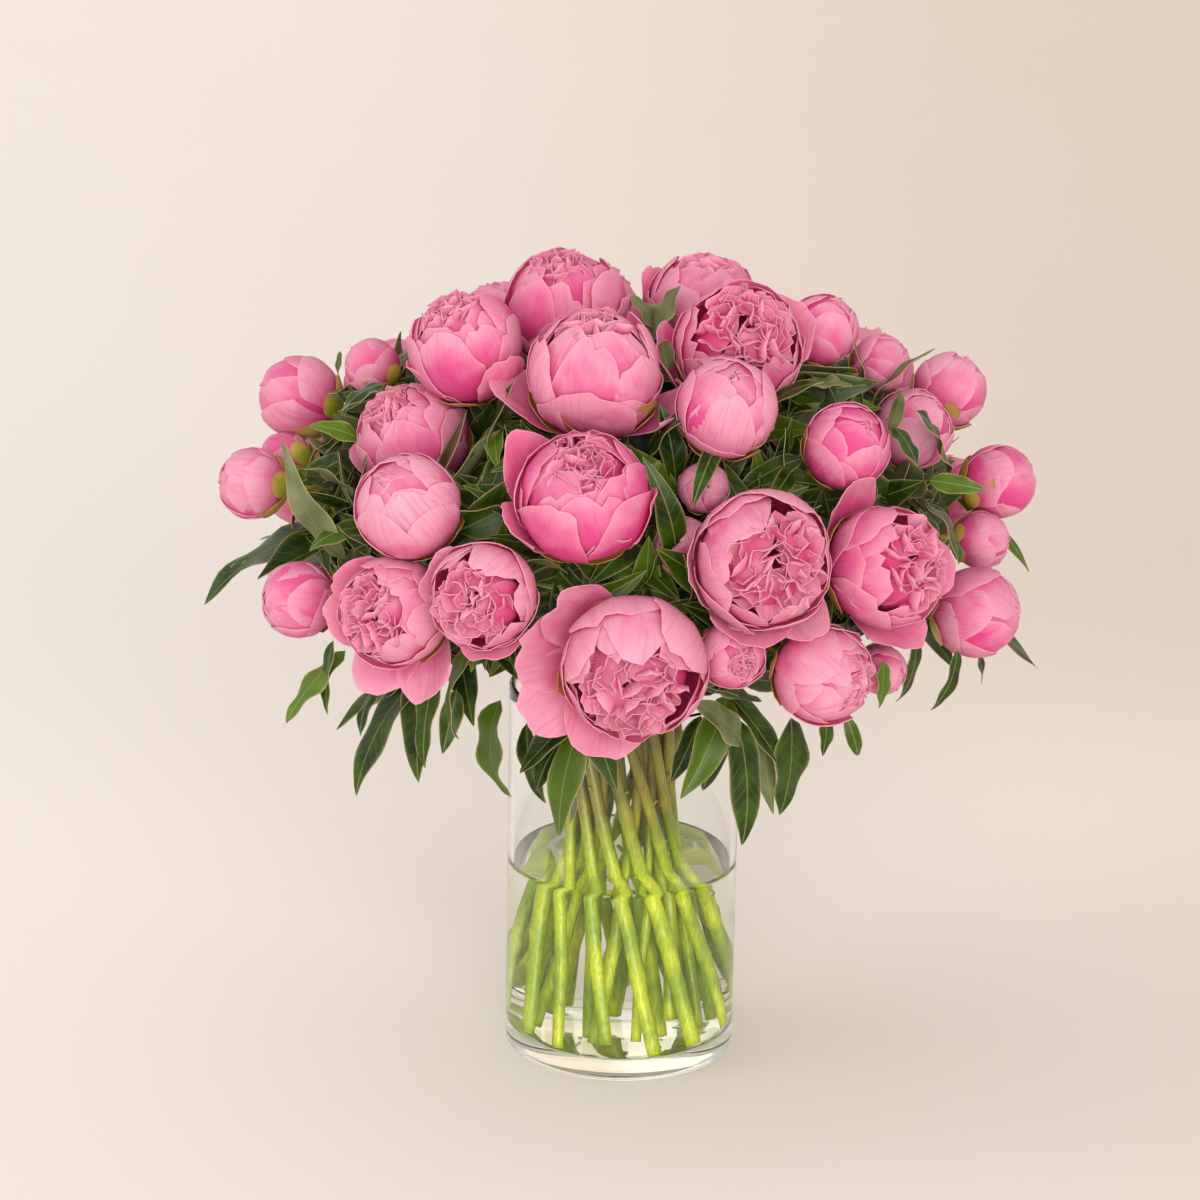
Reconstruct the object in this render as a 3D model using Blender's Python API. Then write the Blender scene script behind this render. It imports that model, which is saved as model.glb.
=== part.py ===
"""A loose dome of cut peonies standing in a clear glass cylinder half full of water.

Metres, +Z up.  The origin is the middle of the vase's flat underside.  Places round the vase are
given as an azimuth in degrees: 0 is the front (-Y) and 90 is the right (+X).
"""

import cmath
import math

import bmesh
import bpy
from mathutils import Matrix, Vector

# ---- driving dimensions ---------------------------------------------------------------------

VASE_RADIUS = 0.075
VASE_HEIGHT = 0.250
WALL = 0.004
BASE_THICKNESS = 0.014
BASE_EDGE_RADIUS = 0.005
FLOOR_CORNER_RADIUS = 0.006
TURNED_STEPS = 48

WATER_TOP = 0.131
GAP = 0.0003                    # between pieces that touch
CUTTER_GAP = 0.0004             # a tunnel in the water is this much wider than its stem

STEM_RADIUS = 0.0040
SHOOT_RADIUS = 0.0028
NECK_TAPER = 0.75               # a stem's radius under its bloom, as a share of its foot
WAIST_HEIGHT = 0.185            # where the bundle is narrowest
TWIST = -9.2                     # tangent of the bundle's turn, per metre above the waist
FLARE = 6.5                     # outward curve of the bundle, per square metre
TWIST_LAG = -50.0                # degrees from a stem's place in the waist to its place in the dome
RIM_CLEAR = 0.245               # height at which the stems leave the bundle and arch outward

HEAD_SIDES = 10
NECK_RADIUS = 0.0055            # flat spot under a bloom, where its stem meets it

LEAF_THICKNESS = 0.0012
PETIOLE_WIDTH = 0.005
RIB_DEPTH = 0.0012              # how far a leaflet is folded down along its middle
LEAF_FOLD = 0.25                # drop of a leaf toward its sides, per unit of width

# Each bloom: azimuth deg, distance from the axis mm, height mm, diameter mm,
# azimuth and elevation that it faces in degrees, form
BLOOMS = {
    "bloom_top_left": (-68, 46, 506, 80, -30, 75, "cup"),
    "bloom_upper_left": (-52, 131, 498, 73, -50, 62, "cup"),
    "bloom_upper_front": (-10, 125, 495, 84, -10, 68, "cup"),
    "bud_upper_front": (21, 161, 481, 62, 20, 55, "bud"),
    "bloom_upper_right": (39, 104, 500, 82, 20, 42, "open"),
    "bud_right_high": (78, 122, 496, 45, 70, 65, "bud"),
    "bloom_top_right": (108, 48, 499, 74, 60, 75, "cup"),
    "bloom_rear_top_right": (142, 110, 462, 72, 140, 62, "cup"),
    "bloom_rear_top": (196, 104, 466, 76, 190, 65, "open"),
    "bloom_rear_top_left": (250, 112, 462, 70, 250, 60, "cup"),
    "bloom_front": (1, 234, 343, 89, 2, 2, "open"),
    "bloom_front_right": (21, 225, 404, 86, 12, 15, "open"),
    "bloom_low_right": (31, 232, 328, 63, 42, -8, "cup"),
    "bloom_right": (43, 230, 388, 76, 42, 15, "open"),
    "bud_low_right": (71, 232, 328, 58, 70, 5, "bud"),
    "bud_shoulder_right": (44, 189, 454, 53, 40, 40, "bud"),
    "bud_inner_right": (81, 180, 432, 52, 78, 45, "bud"),
    "bud_far_right_high": (100, 208, 440, 49, 95, 48, "bud"),
    "bud_far_right": (91, 236, 389, 48, 90, 15, "bud"),
    "bloom_rear_right": (127, 190, 424, 74, 125, 40, "cup"),
    "bud_rear_right_low": (115, 232, 345, 62, 115, 8, "bud"),
    "bloom_rear": (178, 192, 412, 80, 178, 38, "open"),
    "bloom_rear_low_right": (152, 232, 350, 82, 152, 10, "open"),
    "bloom_rear_low_left": (205, 233, 347, 80, 205, 8, "cup"),
    "bloom_rear_left": (234, 192, 412, 72, 234, 40, "cup"),
    "bud_rear_left_low": (246, 232, 352, 60, 246, 10, "bud"),
    "bud_far_left_high": (-102, 218, 425, 54, -100, 25, "bud"),
    "bud_far_left": (-85, 240, 387, 45, -86, 5, "bud"),
    "bloom_left": (-62, 155, 435, 74, -60, 45, "cup"),
    "bud_left_globe": (-38, 218, 422, 65, -42, 45, "bud"),
    "bloom_left_low": (-38, 231, 358, 68, -28, 8, "open"),
    "bud_low_left": (-60, 235, 343, 48, -64, 8, "bud"),
    "bloom_centre": (-8, 202, 440, 83, -8, 45, "cup"),
    "bloom_left_front": (-22, 233, 380, 67, -16, 12, "open"),
}

# Each stem: place round the waist deg, place out from the axis mm, foot above the floor mm,
# the bloom that it carries, and the bloom on its side shoot with the share of the arch where
# that shoot leaves
STEMS = {
    "stem_inner_left": (-55, 15, 0, "bloom_top_left", "bloom_upper_left", 0.30),
    "stem_inner_front": (10, 17, 3, "bloom_upper_front", "bud_upper_front", 0.35),
    "stem_inner_right": (82, 15, 0, "bloom_upper_right", "bud_right_high", 0.35),
    "stem_inner_rear_right": (154, 16, 5, "bloom_top_right", "bloom_rear_top_right", 0.30),
    "stem_inner_rear": (226, 15, 0, "bloom_rear_top", "bloom_rear_top_left", 0.30),
    "stem_front": (0, 33, 0, "bloom_front", None, 0),
    "stem_front_right": (27, 31, 2, "bloom_front_right", "bloom_low_right", 0.40),
    "stem_right": (56, 33, 0, "bloom_right", "bud_low_right", 0.40),
    "stem_shoulder_right": (83, 31, 8, "bud_shoulder_right", "bud_inner_right", 0.35),
    "stem_far_right": (111, 33, 0, "bud_far_right_high", "bud_far_right", 0.40),
    "stem_rear_right": (138, 31, 0, "bloom_rear_right", "bud_rear_right_low", 0.35),
    "stem_rear": (166, 33, 4, "bloom_rear", "bloom_rear_low_right", 0.35),
    "stem_rear_low": (194, 31, 0, "bloom_rear_low_left", None, 0),
    "stem_rear_left": (222, 33, 0, "bloom_rear_left", "bud_rear_left_low", 0.35),
    "stem_far_left": (250, 31, 6, "bud_far_left_high", "bud_far_left", 0.45),
    "stem_left": (277, 33, 0, "bloom_left", "bud_left_globe", 0.25),
    "stem_left_low": (305, 31, 0, "bloom_left_low", "bud_low_left", 0.40),
    "stem_centre": (333, 33, 2, "bloom_centre", "bloom_left_front", 0.40),
}

# Each leaf: the stem that bears it and the share of that stem's arch where it grows, the azimuth
# that it grows toward, its length mm, its elevation at the foot and at the tip in degrees, and
# its number of leaflets
LEAVES = {
    "leaf_far_left": ("stem_far_left", 0.45, -78, 208, 22, -28, 5),
    "leaf_low_left": ("stem_left_low", 0.50, -56, 165, -8, -62, 5),
    "leaf_hanging_left": ("stem_front", 0.50, -30, 150, -14, -84, 3),
    "leaf_hanging_right": ("stem_front_right", 0.40, 30, 165, -26, -84, 3),
    "leaf_far_right": ("stem_far_right", 0.33, 82, 215, 14, -32, 3),
    "leaf_rear": ("stem_rear_low", 0.45, 188, 165, -8, -72, 5),
}

GREEN_STEM = ("stem green", (0.20, 0.30, 0.06), 0.50)
GREEN_LEAF = ("leaf green", (0.035, 0.11, 0.025), 0.42)
PINK_PETAL = ("petal pink", (0.86, 0.33, 0.52), 0.60)
CLEAR_GLASS = ("clear glass", (0.93, 0.96, 0.95), 0.03)
CLEAR_WATER = ("water", (0.84, 0.92, 0.80), 0.02)


# ---- small tools ----------------------------------------------------------------------------

def material(look, see_through=0.0):
    name, colour, roughness = look
    made = bpy.data.materials.get(name)
    if made is None:
        made = bpy.data.materials.new(name)
        made.use_nodes = True
        shader = made.node_tree.nodes["Principled BSDF"]
        shader.inputs["Base Color"].default_value = (*colour, 1.0)
        shader.inputs["Roughness"].default_value = roughness
        shader.inputs["Metallic"].default_value = 0.0
        shader.inputs["Transmission Weight"].default_value = see_through
    return made


def add_object(name, data, finish):
    piece = bpy.data.objects.new(name, data)
    bpy.context.scene.collection.objects.link(piece)
    if finish is not None:
        data.materials.append(finish)
    return piece


def direction(azimuth, elevation=0.0):
    """Unit vector that points out at an azimuth and up at an elevation, both in degrees."""
    a, e = math.radians(azimuth), math.radians(elevation)
    return Vector((math.sin(a) * math.cos(e), -math.cos(a) * math.cos(e), math.sin(e)))


def arc(centre, radius, start, end, steps):
    """Points of a round corner in a turned profile, angles in degrees from the +X direction."""
    angles = [math.radians(start + (end - start) * i / steps) for i in range(steps + 1)]
    return [(centre[0] + radius * math.cos(a), centre[1] + radius * math.sin(a)) for a in angles]


def turned(name, profile, steps, finish):
    """Turn an outline of (radius, height) points about Z; its two ends lie on the axis."""
    mesh = bpy.data.meshes.new(name)
    edges = [(i, i + 1) for i in range(len(profile) - 1)]
    mesh.from_pydata([(x, 0.0, z) for x, z in profile], edges, [])
    piece = add_object(name, mesh, finish)
    screw = piece.modifiers.new("turn", "SCREW")
    screw.axis = "Z"
    screw.angle = math.tau
    screw.steps = steps
    screw.render_steps = steps
    screw.use_merge_vertices = True
    screw.merge_threshold = 0.00001
    screw.use_smooth_shade = True
    return piece


def tube(name, points, radius, taper, finish):
    """Closed round tube along points, its radius falling in a straight line to radius * taper."""
    curve = bpy.data.curves.new(name, "CURVE")
    curve.dimensions = "3D"
    curve.bevel_depth = radius
    curve.bevel_resolution = 1
    curve.use_fill_caps = True
    curve.resolution_u = 1
    curve.render_resolution_u = 0
    spline = curve.splines.new("POLY")
    spline.points.add(len(points) - 1)
    for i, (slot, point) in enumerate(zip(spline.points, points)):
        slot.co = (*point, 1.0)
        slot.radius = 1.0 + (taper - 1.0) * i / (len(points) - 1)
    drawn = add_object(name + "_line", curve, None)
    mesh = bpy.data.meshes.new_from_object(drawn.evaluated_get(bpy.context.evaluated_depsgraph_get()))
    mesh.name = name
    bpy.data.objects.remove(drawn, do_unlink=True)
    weld_caps(mesh)
    return add_object(name, mesh, finish)


def weld_caps(mesh):
    """Join the end discs of a tube to its wall."""
    bm = bmesh.new()
    bm.from_mesh(mesh)
    bmesh.ops.remove_doubles(bm, verts=bm.verts, dist=0.00001)
    bm.to_mesh(mesh)
    bm.free()


def helper(piece):
    """Mark a cutter or a guide: it shapes other pieces and is no piece itself."""
    piece.hide_render = True
    piece.display_type = "WIRE"
    return piece


def boolean(piece, other, operation):
    step = piece.modifiers.new(other.name, "BOOLEAN")
    step.operation = operation
    step.solver = "EXACT"
    step.object = other


# ---- vase and water -------------------------------------------------------------------------

def make_vase():
    inner = VASE_RADIUS - WALL
    corner = FLOOR_CORNER_RADIUS
    edge = BASE_EDGE_RADIUS
    lip = WALL / 2
    profile = [(0.0, BASE_THICKNESS)]
    profile += arc((inner - corner, BASE_THICKNESS + corner), corner, -90, 0, 4)
    profile += arc((inner + lip, VASE_HEIGHT - lip), lip, 180, 0, 6)
    profile += arc((VASE_RADIUS - edge, edge), edge, 0, -90, 5)
    profile += [(0.0, 0.0)]
    return turned("glass_vase", profile, TURNED_STEPS, material(CLEAR_GLASS, 1.0))


def make_water(stem_routes):
    inner = VASE_RADIUS - WALL
    corner = FLOOR_CORNER_RADIUS
    side = inner - GAP
    bottom = BASE_THICKNESS + GAP
    profile = [(0.0, WATER_TOP), (side, WATER_TOP)]
    profile += arc((side - corner, bottom + corner), corner, 0, -90, 4)
    profile += [(0.0, bottom)]
    water = turned("water", profile, TURNED_STEPS, material(CLEAR_WATER, 1.0))
    for name, route in stem_routes.items():
        low = [point for point in route if point.z < VASE_HEIGHT]
        along = (low[0] - low[1]).normalized()
        low[0] = low[0] + along * CUTTER_GAP
        cutter = helper(tube("tunnel_" + name, low, STEM_RADIUS + CUTTER_GAP, 1.0, None))
        boolean(water, cutter, "DIFFERENCE")
    return water


# ---- blooms ---------------------------------------------------------------------------------

def bloom_centre(name):
    azimuth, distance, height = BLOOMS[name][:3]
    return direction(azimuth) * distance / 1000 + Vector((0, 0, height / 1000))


def bloom_axis(name):
    return direction(BLOOMS[name][4], BLOOMS[name][5])


def neck(name):
    """Where the stem ends, just under the bloom."""
    radius = BLOOMS[name][3] / 2000
    return bloom_centre(name) - bloom_axis(name) * (bottom_of(radius) + GAP)


def bottom_of(radius):
    """Distance from a bloom's centre down to the flat spot where its stem meets it."""
    return math.sqrt(radius ** 2 - NECK_RADIUS ** 2)


def bloom_profile(form, radius):
    """Half outline of a bloom from its top to its neck, as (radius, height) about its centre."""
    low = [(math.sin(math.radians(a)) * radius, -math.cos(math.radians(a)) * radius)
           for a in (115, 88, 62, 36)]
    flat = [(NECK_RADIUS, -bottom_of(radius)), (0.0, -bottom_of(radius))]
    if form == "bud":
        top = [(0.0, 1.0), (0.42, 0.90), (0.76, 0.66)]
    elif form == "cup":
        top = [(0.0, 0.66), (0.30, 0.80), (0.52, 0.90), (0.78, 0.66)]
    else:
        top = [(0.0, 0.60), (0.34, 0.66), (0.60, 0.52), (0.68, 0.78), (0.82, 0.62)]
    return [(x * radius, z * radius) for x, z in top] + low + flat


def make_bloom(name):
    form, radius = BLOOMS[name][6], BLOOMS[name][3] / 2000
    piece = turned(name, bloom_profile(form, radius), HEAD_SIDES, material(PINK_PETAL))
    turn = bloom_axis(name).to_track_quat("Z", "Y").to_matrix().to_4x4()
    piece.matrix_world = Matrix.Translation(bloom_centre(name)) @ turn
    return piece


# ---- stems ----------------------------------------------------------------------------------

def bundle_point(azimuth, distance, height):
    """A stem's place inside the vase.  One complex factor turns and spreads the whole bundle."""
    above = height - WAIST_HEIGHT
    factor = 1 + 1j * TWIST * above + FLARE * above ** 2
    place = cmath.rect(distance / 1000, math.radians(azimuth - TWIST_LAG - 90)) * factor
    return Vector((place.real, place.imag, height))


def bezier(a, b, c, d, t):
    s = 1 - t
    return a * s ** 3 + b * 3 * s * s * t + c * 3 * s * t * t + d * t ** 3


def arch(start, heading, name, lean):
    """Control points of the curve from the bundle, or from a fork, out to the neck of a bloom."""
    end = neck(name)
    span = (end - start).length
    return start, start + heading * span * lean, end - bloom_axis(name) * span * 0.38, end


def stem_route(name):
    """Points of the main stem, foot to neck, and the control points of its arch."""
    azimuth, distance, lift, bloom, _, _ = STEMS[name]
    foot = BASE_THICKNESS + GAP + STEM_RADIUS * 0.45 + lift / 1000
    levels = (foot, 0.075, 0.131, WAIST_HEIGHT)
    low = [bundle_point(azimuth, distance, z) for z in levels]
    rim = bundle_point(azimuth, distance, RIM_CLEAR)
    heading = (rim - bundle_point(azimuth, distance, RIM_CLEAR - 0.01)).normalized()
    controls = arch(rim, heading, bloom, 0.38)
    steps = 7
    high = [bezier(*controls, i / steps) for i in range(steps + 1)]
    return low + high, controls


def shoot_route(name, controls):
    """Points of a side shoot, from inside the main stem out to its own bloom."""
    bloom, share = STEMS[name][4], STEMS[name][5]
    start = bezier(*controls, share)
    ahead = (bezier(*controls, share + 0.02) - start).normalized()
    toward = (neck(bloom) - start).normalized()
    heading = (ahead * 0.55 + toward * 0.45).normalized()
    curve = arch(start, heading, bloom, 0.30)
    steps = 7
    return [bezier(*curve, i / steps) for i in range(steps + 1)]


def make_stem(name, route, controls):
    piece = tube(name, route, STEM_RADIUS, NECK_TAPER, material(GREEN_STEM))
    if STEMS[name][4]:
        shoot = tube("shoot_of_" + name, shoot_route(name, controls), SHOOT_RADIUS, 0.95, None)
        boolean(piece, helper(shoot), "UNION")
    return piece


# ---- leaves ---------------------------------------------------------------------------------

def leaflet_rows(root_a, root_b, angle, length, width):
    """Rows of a leaflet drawn flat: the edge that it grows from, then left, rib, right points."""
    middle = ((root_a[0] + root_b[0]) / 2, (root_a[1] + root_b[1]) / 2)
    along = (math.cos(angle), math.sin(angle))
    across = (-along[1], along[0])
    rows = []
    for share, spread in ((0.16, 0.50), (0.34, 0.92), (0.52, 1.0), (0.72, 0.74), (0.88, 0.36)):
        u, v = middle[0] + along[0] * share * length, middle[1] + along[1] * share * length
        half = width / 2 * spread
        rows.append([(u + across[0] * s * half, v + across[1] * s * half) for s in (1, 0, -1)])
    tip = (middle[0] + along[0] * length, middle[1] + along[1] * length)
    return rows, tip


def add_leaflet(bm, root_a, root_b, angle, length, width):
    rows, tip = leaflet_rows(root_a.co, root_b.co, angle, length, width)
    made = [[bm.verts.new((u, v, 0.0)) for u, v in row] for row in rows]
    for _, rib, _ in made:
        rib.co.z = -RIB_DEPTH
    bm.faces.new((root_a, root_b, made[0][2], made[0][1], made[0][0]))
    for lower, upper in zip(made, made[1:]):
        for k in (0, 1):
            bm.faces.new((lower[k], lower[k + 1], upper[k + 1], upper[k]))
    end = bm.verts.new((*tip, 0.0))
    bm.faces.new((made[-1][0], made[-1][1], end))
    bm.faces.new((made[-1][1], made[-1][2], end))


def flat_leaf(length, leaflets):
    """A compound leaf drawn flat along +X: a stalk, an end leaflet and pairs of side leaflets."""
    bm = bmesh.new()
    half = PETIOLE_WIDTH / 2
    stations = [length * share for share in (0.0, 0.12, 0.24, 0.30, 0.36, 0.42, 0.48)]
    left = [bm.verts.new((u, half, 0.0)) for u in stations]
    right = [bm.verts.new((u, -half, 0.0)) for u in stations]
    for i in range(len(stations) - 1):
        bm.faces.new((left[i], right[i], right[i + 1], left[i + 1]))
    add_leaflet(bm, left[-1], right[-1], 0.0, length * 0.52, length * 0.15)
    pairs = [(4, 0.60)] if leaflets == 3 else [(4, 0.55), (2, 1.02)]
    for i, angle in pairs:
        size = length * (0.46 if i == 4 else 0.40)
        add_leaflet(bm, left[i], left[i + 1], angle, size, length * 0.13)
        add_leaflet(bm, right[i + 1], right[i], -angle, size, length * 0.13)
    return bm


def under_stem(controls, share):
    """The place just below a stem, at a share of its arch, where a leaf stalk starts."""
    place = bezier(*controls, share)
    ahead = (bezier(*controls, share + 0.02) - place).normalized()
    down = Vector((0, 0, -1))
    down = (down - ahead * down.dot(ahead)).normalized()
    return place + down * (STEM_RADIUS + LEAF_THICKNESS / 2 + GAP)


def make_leaf(name, arches):
    stem, share, azimuth, length, rise, fall, leaflets = LEAVES[name]
    length, rise, fall = length / 1000, math.radians(rise), math.radians(fall)
    bm = flat_leaf(length, leaflets)
    out, side, up = direction(azimuth), direction(azimuth + 90), Vector((0, 0, 1))
    foot = under_stem(arches[stem], share)
    rate = (fall - rise) / length
    for vertex in bm.verts:
        u, v, w = vertex.co
        turn = rise + rate * u
        reach = (math.sin(turn) - math.sin(rise)) / rate
        climb = (math.cos(rise) - math.cos(turn)) / rate
        w -= abs(v) * LEAF_FOLD
        ahead, lift = reach - w * math.sin(turn), climb + w * math.cos(turn)
        vertex.co = foot + out * ahead + up * lift + side * v
    mesh = bpy.data.meshes.new(name)
    bm.to_mesh(mesh)
    bm.free()
    piece = add_object(name, mesh, material(GREEN_LEAF))
    thick = piece.modifiers.new("thickness", "SOLIDIFY")
    thick.thickness = LEAF_THICKNESS
    thick.offset = 0.0
    return piece


# ---- the whole bouquet ----------------------------------------------------------------------

def clear_scene():
    for old in list(bpy.data.objects):
        bpy.data.objects.remove(old, do_unlink=True)


clear_scene()
make_vase()
routes, arches = {}, {}
for stem in STEMS:
    routes[stem], arches[stem] = stem_route(stem)
    make_stem(stem, routes[stem], arches[stem])
make_water(routes)
for bloom in BLOOMS:
    make_bloom(bloom)
for leaf in LEAVES:
    make_leaf(leaf, arches)
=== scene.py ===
import cmath
import math
import random

import bpy
import numpy as np
from mathutils import Matrix, Vector


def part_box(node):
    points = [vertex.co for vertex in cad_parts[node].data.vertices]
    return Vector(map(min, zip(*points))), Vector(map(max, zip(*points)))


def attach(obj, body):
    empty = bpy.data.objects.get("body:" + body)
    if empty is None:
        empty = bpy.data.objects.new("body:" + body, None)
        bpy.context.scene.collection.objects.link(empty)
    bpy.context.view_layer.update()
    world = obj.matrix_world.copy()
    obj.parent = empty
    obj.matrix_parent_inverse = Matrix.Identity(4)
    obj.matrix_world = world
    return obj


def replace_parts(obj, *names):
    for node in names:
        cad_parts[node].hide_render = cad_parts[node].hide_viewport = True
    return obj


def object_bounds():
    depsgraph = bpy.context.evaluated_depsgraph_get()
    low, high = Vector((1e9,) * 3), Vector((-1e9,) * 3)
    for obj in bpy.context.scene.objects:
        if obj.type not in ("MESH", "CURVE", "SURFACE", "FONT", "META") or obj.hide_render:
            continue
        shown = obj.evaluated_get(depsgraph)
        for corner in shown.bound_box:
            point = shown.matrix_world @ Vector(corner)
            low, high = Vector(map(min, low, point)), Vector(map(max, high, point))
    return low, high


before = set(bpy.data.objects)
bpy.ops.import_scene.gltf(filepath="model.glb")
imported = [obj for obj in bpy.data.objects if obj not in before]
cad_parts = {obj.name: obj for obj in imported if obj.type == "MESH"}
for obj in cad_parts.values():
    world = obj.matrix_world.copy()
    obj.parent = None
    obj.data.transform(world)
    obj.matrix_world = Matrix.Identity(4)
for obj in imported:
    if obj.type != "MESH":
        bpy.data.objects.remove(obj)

cad_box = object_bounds()


# ---- vase -----------------------------------------------------------------------------------
# A straight cylinder of clear soda glass with an even wall, a thick solid base with a rounded
# outer edge, and a fire-polished rim.  It stands on its flat underside.

vase_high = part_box("glass_vase")[1]
vase_radius, vase_height = vase_high.x, vase_high.z
vase_wall = 0.004
vase_floor = 0.014
vase_edge = 0.005
vase_corner = 0.006
glass_colour = (0.985, 0.998, 0.993)
glass_cloud = (0.975, 0.996, 0.988)
soft_shine = (0.45, 0.45, 0.45)     # a clear piece mirrors the pale room only faintly


class Wire:
    """One socket of a shader, so that shader maths reads as plain expressions."""

    def __init__(self, tree, socket):
        self.tree, self.socket = tree, socket

    def node(self, kind, settings=None, inputs=None, output=0):
        """Add any node: settings first, then the values or links of its sockets."""
        made = self.tree.nodes.new(kind)
        for name, value in (settings or {}).items():
            setattr(made, name, value)
        for name, value in (inputs or {}).items():
            feed(made, name, value)
        return Wire(self.tree, made.outputs[output])

    def maths(self, operation, *values):
        return self.node("ShaderNodeMath", {"operation": operation}, dict(enumerate(values)))

    def __add__(self, other):
        return self.maths("ADD", self, other)

    def __sub__(self, other):
        return self.maths("SUBTRACT", self, other)

    def __rsub__(self, other):
        return self.maths("SUBTRACT", other, self)

    def __mul__(self, other):
        return self.maths("MULTIPLY", self, other)

    __radd__ = __add__
    __rmul__ = __mul__

    def between(self, low, high):
        """0 up to low and 1 from high on, smooth between them."""
        return self.node("ShaderNodeMapRange", {"interpolation_type": "SMOOTHSTEP"},
                         {"Value": self, "From Min": low, "From Max": high})

    def tint(self, plain, full):
        """Colour that goes from plain, where this is 0, to full, where it is 1."""
        return self.node("ShaderNodeMix", {"data_type": "RGBA"}, {0: self, 6: plain, 7: full}, 2)

    def part(self, number):
        """One of the three numbers of a vector."""
        return self.node("ShaderNodeSeparateXYZ", {}, {0: self}, number)


def feed(node, name, value):
    place = node.inputs[name]
    if isinstance(value, Wire):
        value.tree.links.new(value.socket, place)
    elif hasattr(value, "__len__") and len(place.default_value) == 4:
        place.default_value = (*value, 1.0)
    else:
        place.default_value = value


def new_finish(name, **constants):
    """A new material, its main shader, and a wire to start expressions from."""
    finish = bpy.data.materials.new(name)
    finish.use_nodes = True
    shader = finish.node_tree.nodes["Principled BSDF"]
    for socket, value in constants.items():
        feed(shader, socket.replace("_", " "), value)
    return finish, shader, Wire(finish.node_tree, shader.outputs[0])


def blend_into(start, factor, other):
    """Mix another shader into the material by a factor, at its output."""
    output = start.tree.nodes["Material Output"]
    mixed = start.node("ShaderNodeMixShader", {}, {0: factor, 1: start, 2: other})
    start.tree.links.new(mixed.socket, output.inputs["Surface"])


def let_light_through(start, colour):
    """Light on its way to other things passes a clear material straight, so that it throws no
    black shadow; only the eye sees it bend."""
    lamp_ray, soft_ray = (start.node("ShaderNodeLightPath", output=k) for k in (1, 2))
    blend_into(start, lamp_ray.maths("MAXIMUM", lamp_ray, soft_ray),
               start.node("ShaderNodeBsdfTransparent", {}, {0: colour}))


def place_of(start):
    """The point of the surface in the object's own metres."""
    return start.node("ShaderNodeTexCoord", output=3)


def noise(start, where, scale, detail=2.0):
    return start.node("ShaderNodeTexNoise", {}, {"Vector": where, "Scale": scale, "Detail": detail})


def bump(start, shader, height, strength, distance=0.001):
    feed(shader, "Normal", start.node("ShaderNodeBump", {},
         {"Strength": strength, "Distance": distance, "Height": height}))


def add_piece(name, points, faces, finish, slot):
    """One smooth mesh that stands still with the vase and wears the given finish; slot is not used."""
    mesh = bpy.data.meshes.new(name)
    mesh.from_pydata([tuple(p) for p in points], [], faces)
    mesh.shade_smooth()
    mesh.materials.append(finish)
    piece = bpy.data.objects.new(name, mesh)
    bpy.context.scene.collection.objects.link(piece)
    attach(piece, "root")
    return piece


def arc(x, z, radius, start, end, steps):
    """Points of a round corner in a turned outline, angles in degrees from outward."""
    angles = np.radians(np.linspace(start, end, steps + 1))
    return [(x + radius * math.cos(a), z + radius * math.sin(a)) for a in angles]


def turned(outline, steps):
    """Points and faces of an outline turned about Z; both of its ends lie on the axis."""
    points = [(0.0, 0.0, outline[0][1])]
    for x, z in outline[1:-1]:
        for k in range(steps):
            angle = math.tau * k / steps
            points.append((x * math.cos(angle), x * math.sin(angle), z))
    points.append((0.0, 0.0, outline[-1][1]))
    rings = [range(1 + steps * i, 1 + steps * (i + 1)) for i in range(len(outline) - 2)]
    faces = []
    for k in range(steps):
        following = (k + 1) % steps
        faces.append((0, rings[0][k], rings[0][following]))
        for low, high in zip(rings, rings[1:]):
            faces.append((low[k], high[k], high[following], low[following]))
        faces.append((rings[-1][k], len(points) - 1, rings[-1][following]))
    return points, faces


glass, glass_shader, glass_start = new_finish(
    "clear soda glass", Roughness=0.0, IOR=1.5, Transmission_Weight=1.0, Specular_Tint=soft_shine)
glass_clouds = noise(glass_start, place_of(glass_start), 6.0)
feed(glass_shader, "Base Color", glass_clouds.tint(glass_colour, glass_cloud))
bump(glass_start, glass_shader, noise(glass_start, place_of(glass_start), 14.0, 1.0), 0.10, 0.002)
let_light_through(glass_start, (0.98, 0.99, 0.985))

inner_radius = vase_radius - vase_wall
outline = [(0.0, vase_floor), (inner_radius * 0.5, vase_floor + 0.0004)]
outline += arc(inner_radius - vase_corner, vase_floor + vase_corner, vase_corner, -90, 0, 8)
outline += [(inner_radius, z) for z in np.linspace(0.03, vase_height - 0.01, 12)]
outline += arc(inner_radius + vase_wall / 2, vase_height - vase_wall / 2, vase_wall / 2, 180, 0, 10)
outline += [(vase_radius, z) for z in np.linspace(vase_height - 0.01, 0.02, 12)]
outline += arc(vase_radius - vase_edge, vase_edge, vase_edge, 0, -90, 8)
outline += [(0.062, 0.0), (0.058, 0.0005), (0.045, 0.0012), (0.0, 0.0016)]
vase = add_piece("vase", *turned(outline, 128), glass, "clear_glass")
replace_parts(vase, "glass_vase")


# ---- water ----------------------------------------------------------------------------------
# Clear tap water a little over half way up, tinted a faint green by the stems, curling up the
# glass in a thin rim where it touches.

water_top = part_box("water")[1].z
water_side = inner_radius + 0.00005
meniscus_height, meniscus_width = 0.0002, 0.0008
water_colour = (0.985, 0.998, 0.93)
water_cloud = (0.98, 0.996, 0.90)

water_look, water_shader, water_start = new_finish(
    "clear water", Roughness=0.0, IOR=1.333, Transmission_Weight=1.0, Specular_Tint=soft_shine)
water_clouds = noise(water_start, place_of(water_start), 9.0)
feed(water_shader, "Base Color", water_clouds.tint(water_colour, water_cloud))
bump(water_start, water_shader, noise(water_start, place_of(water_start), 30.0, 1.0), 0.06, 0.001)
let_light_through(water_start, (0.98, 0.995, 0.93))

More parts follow.
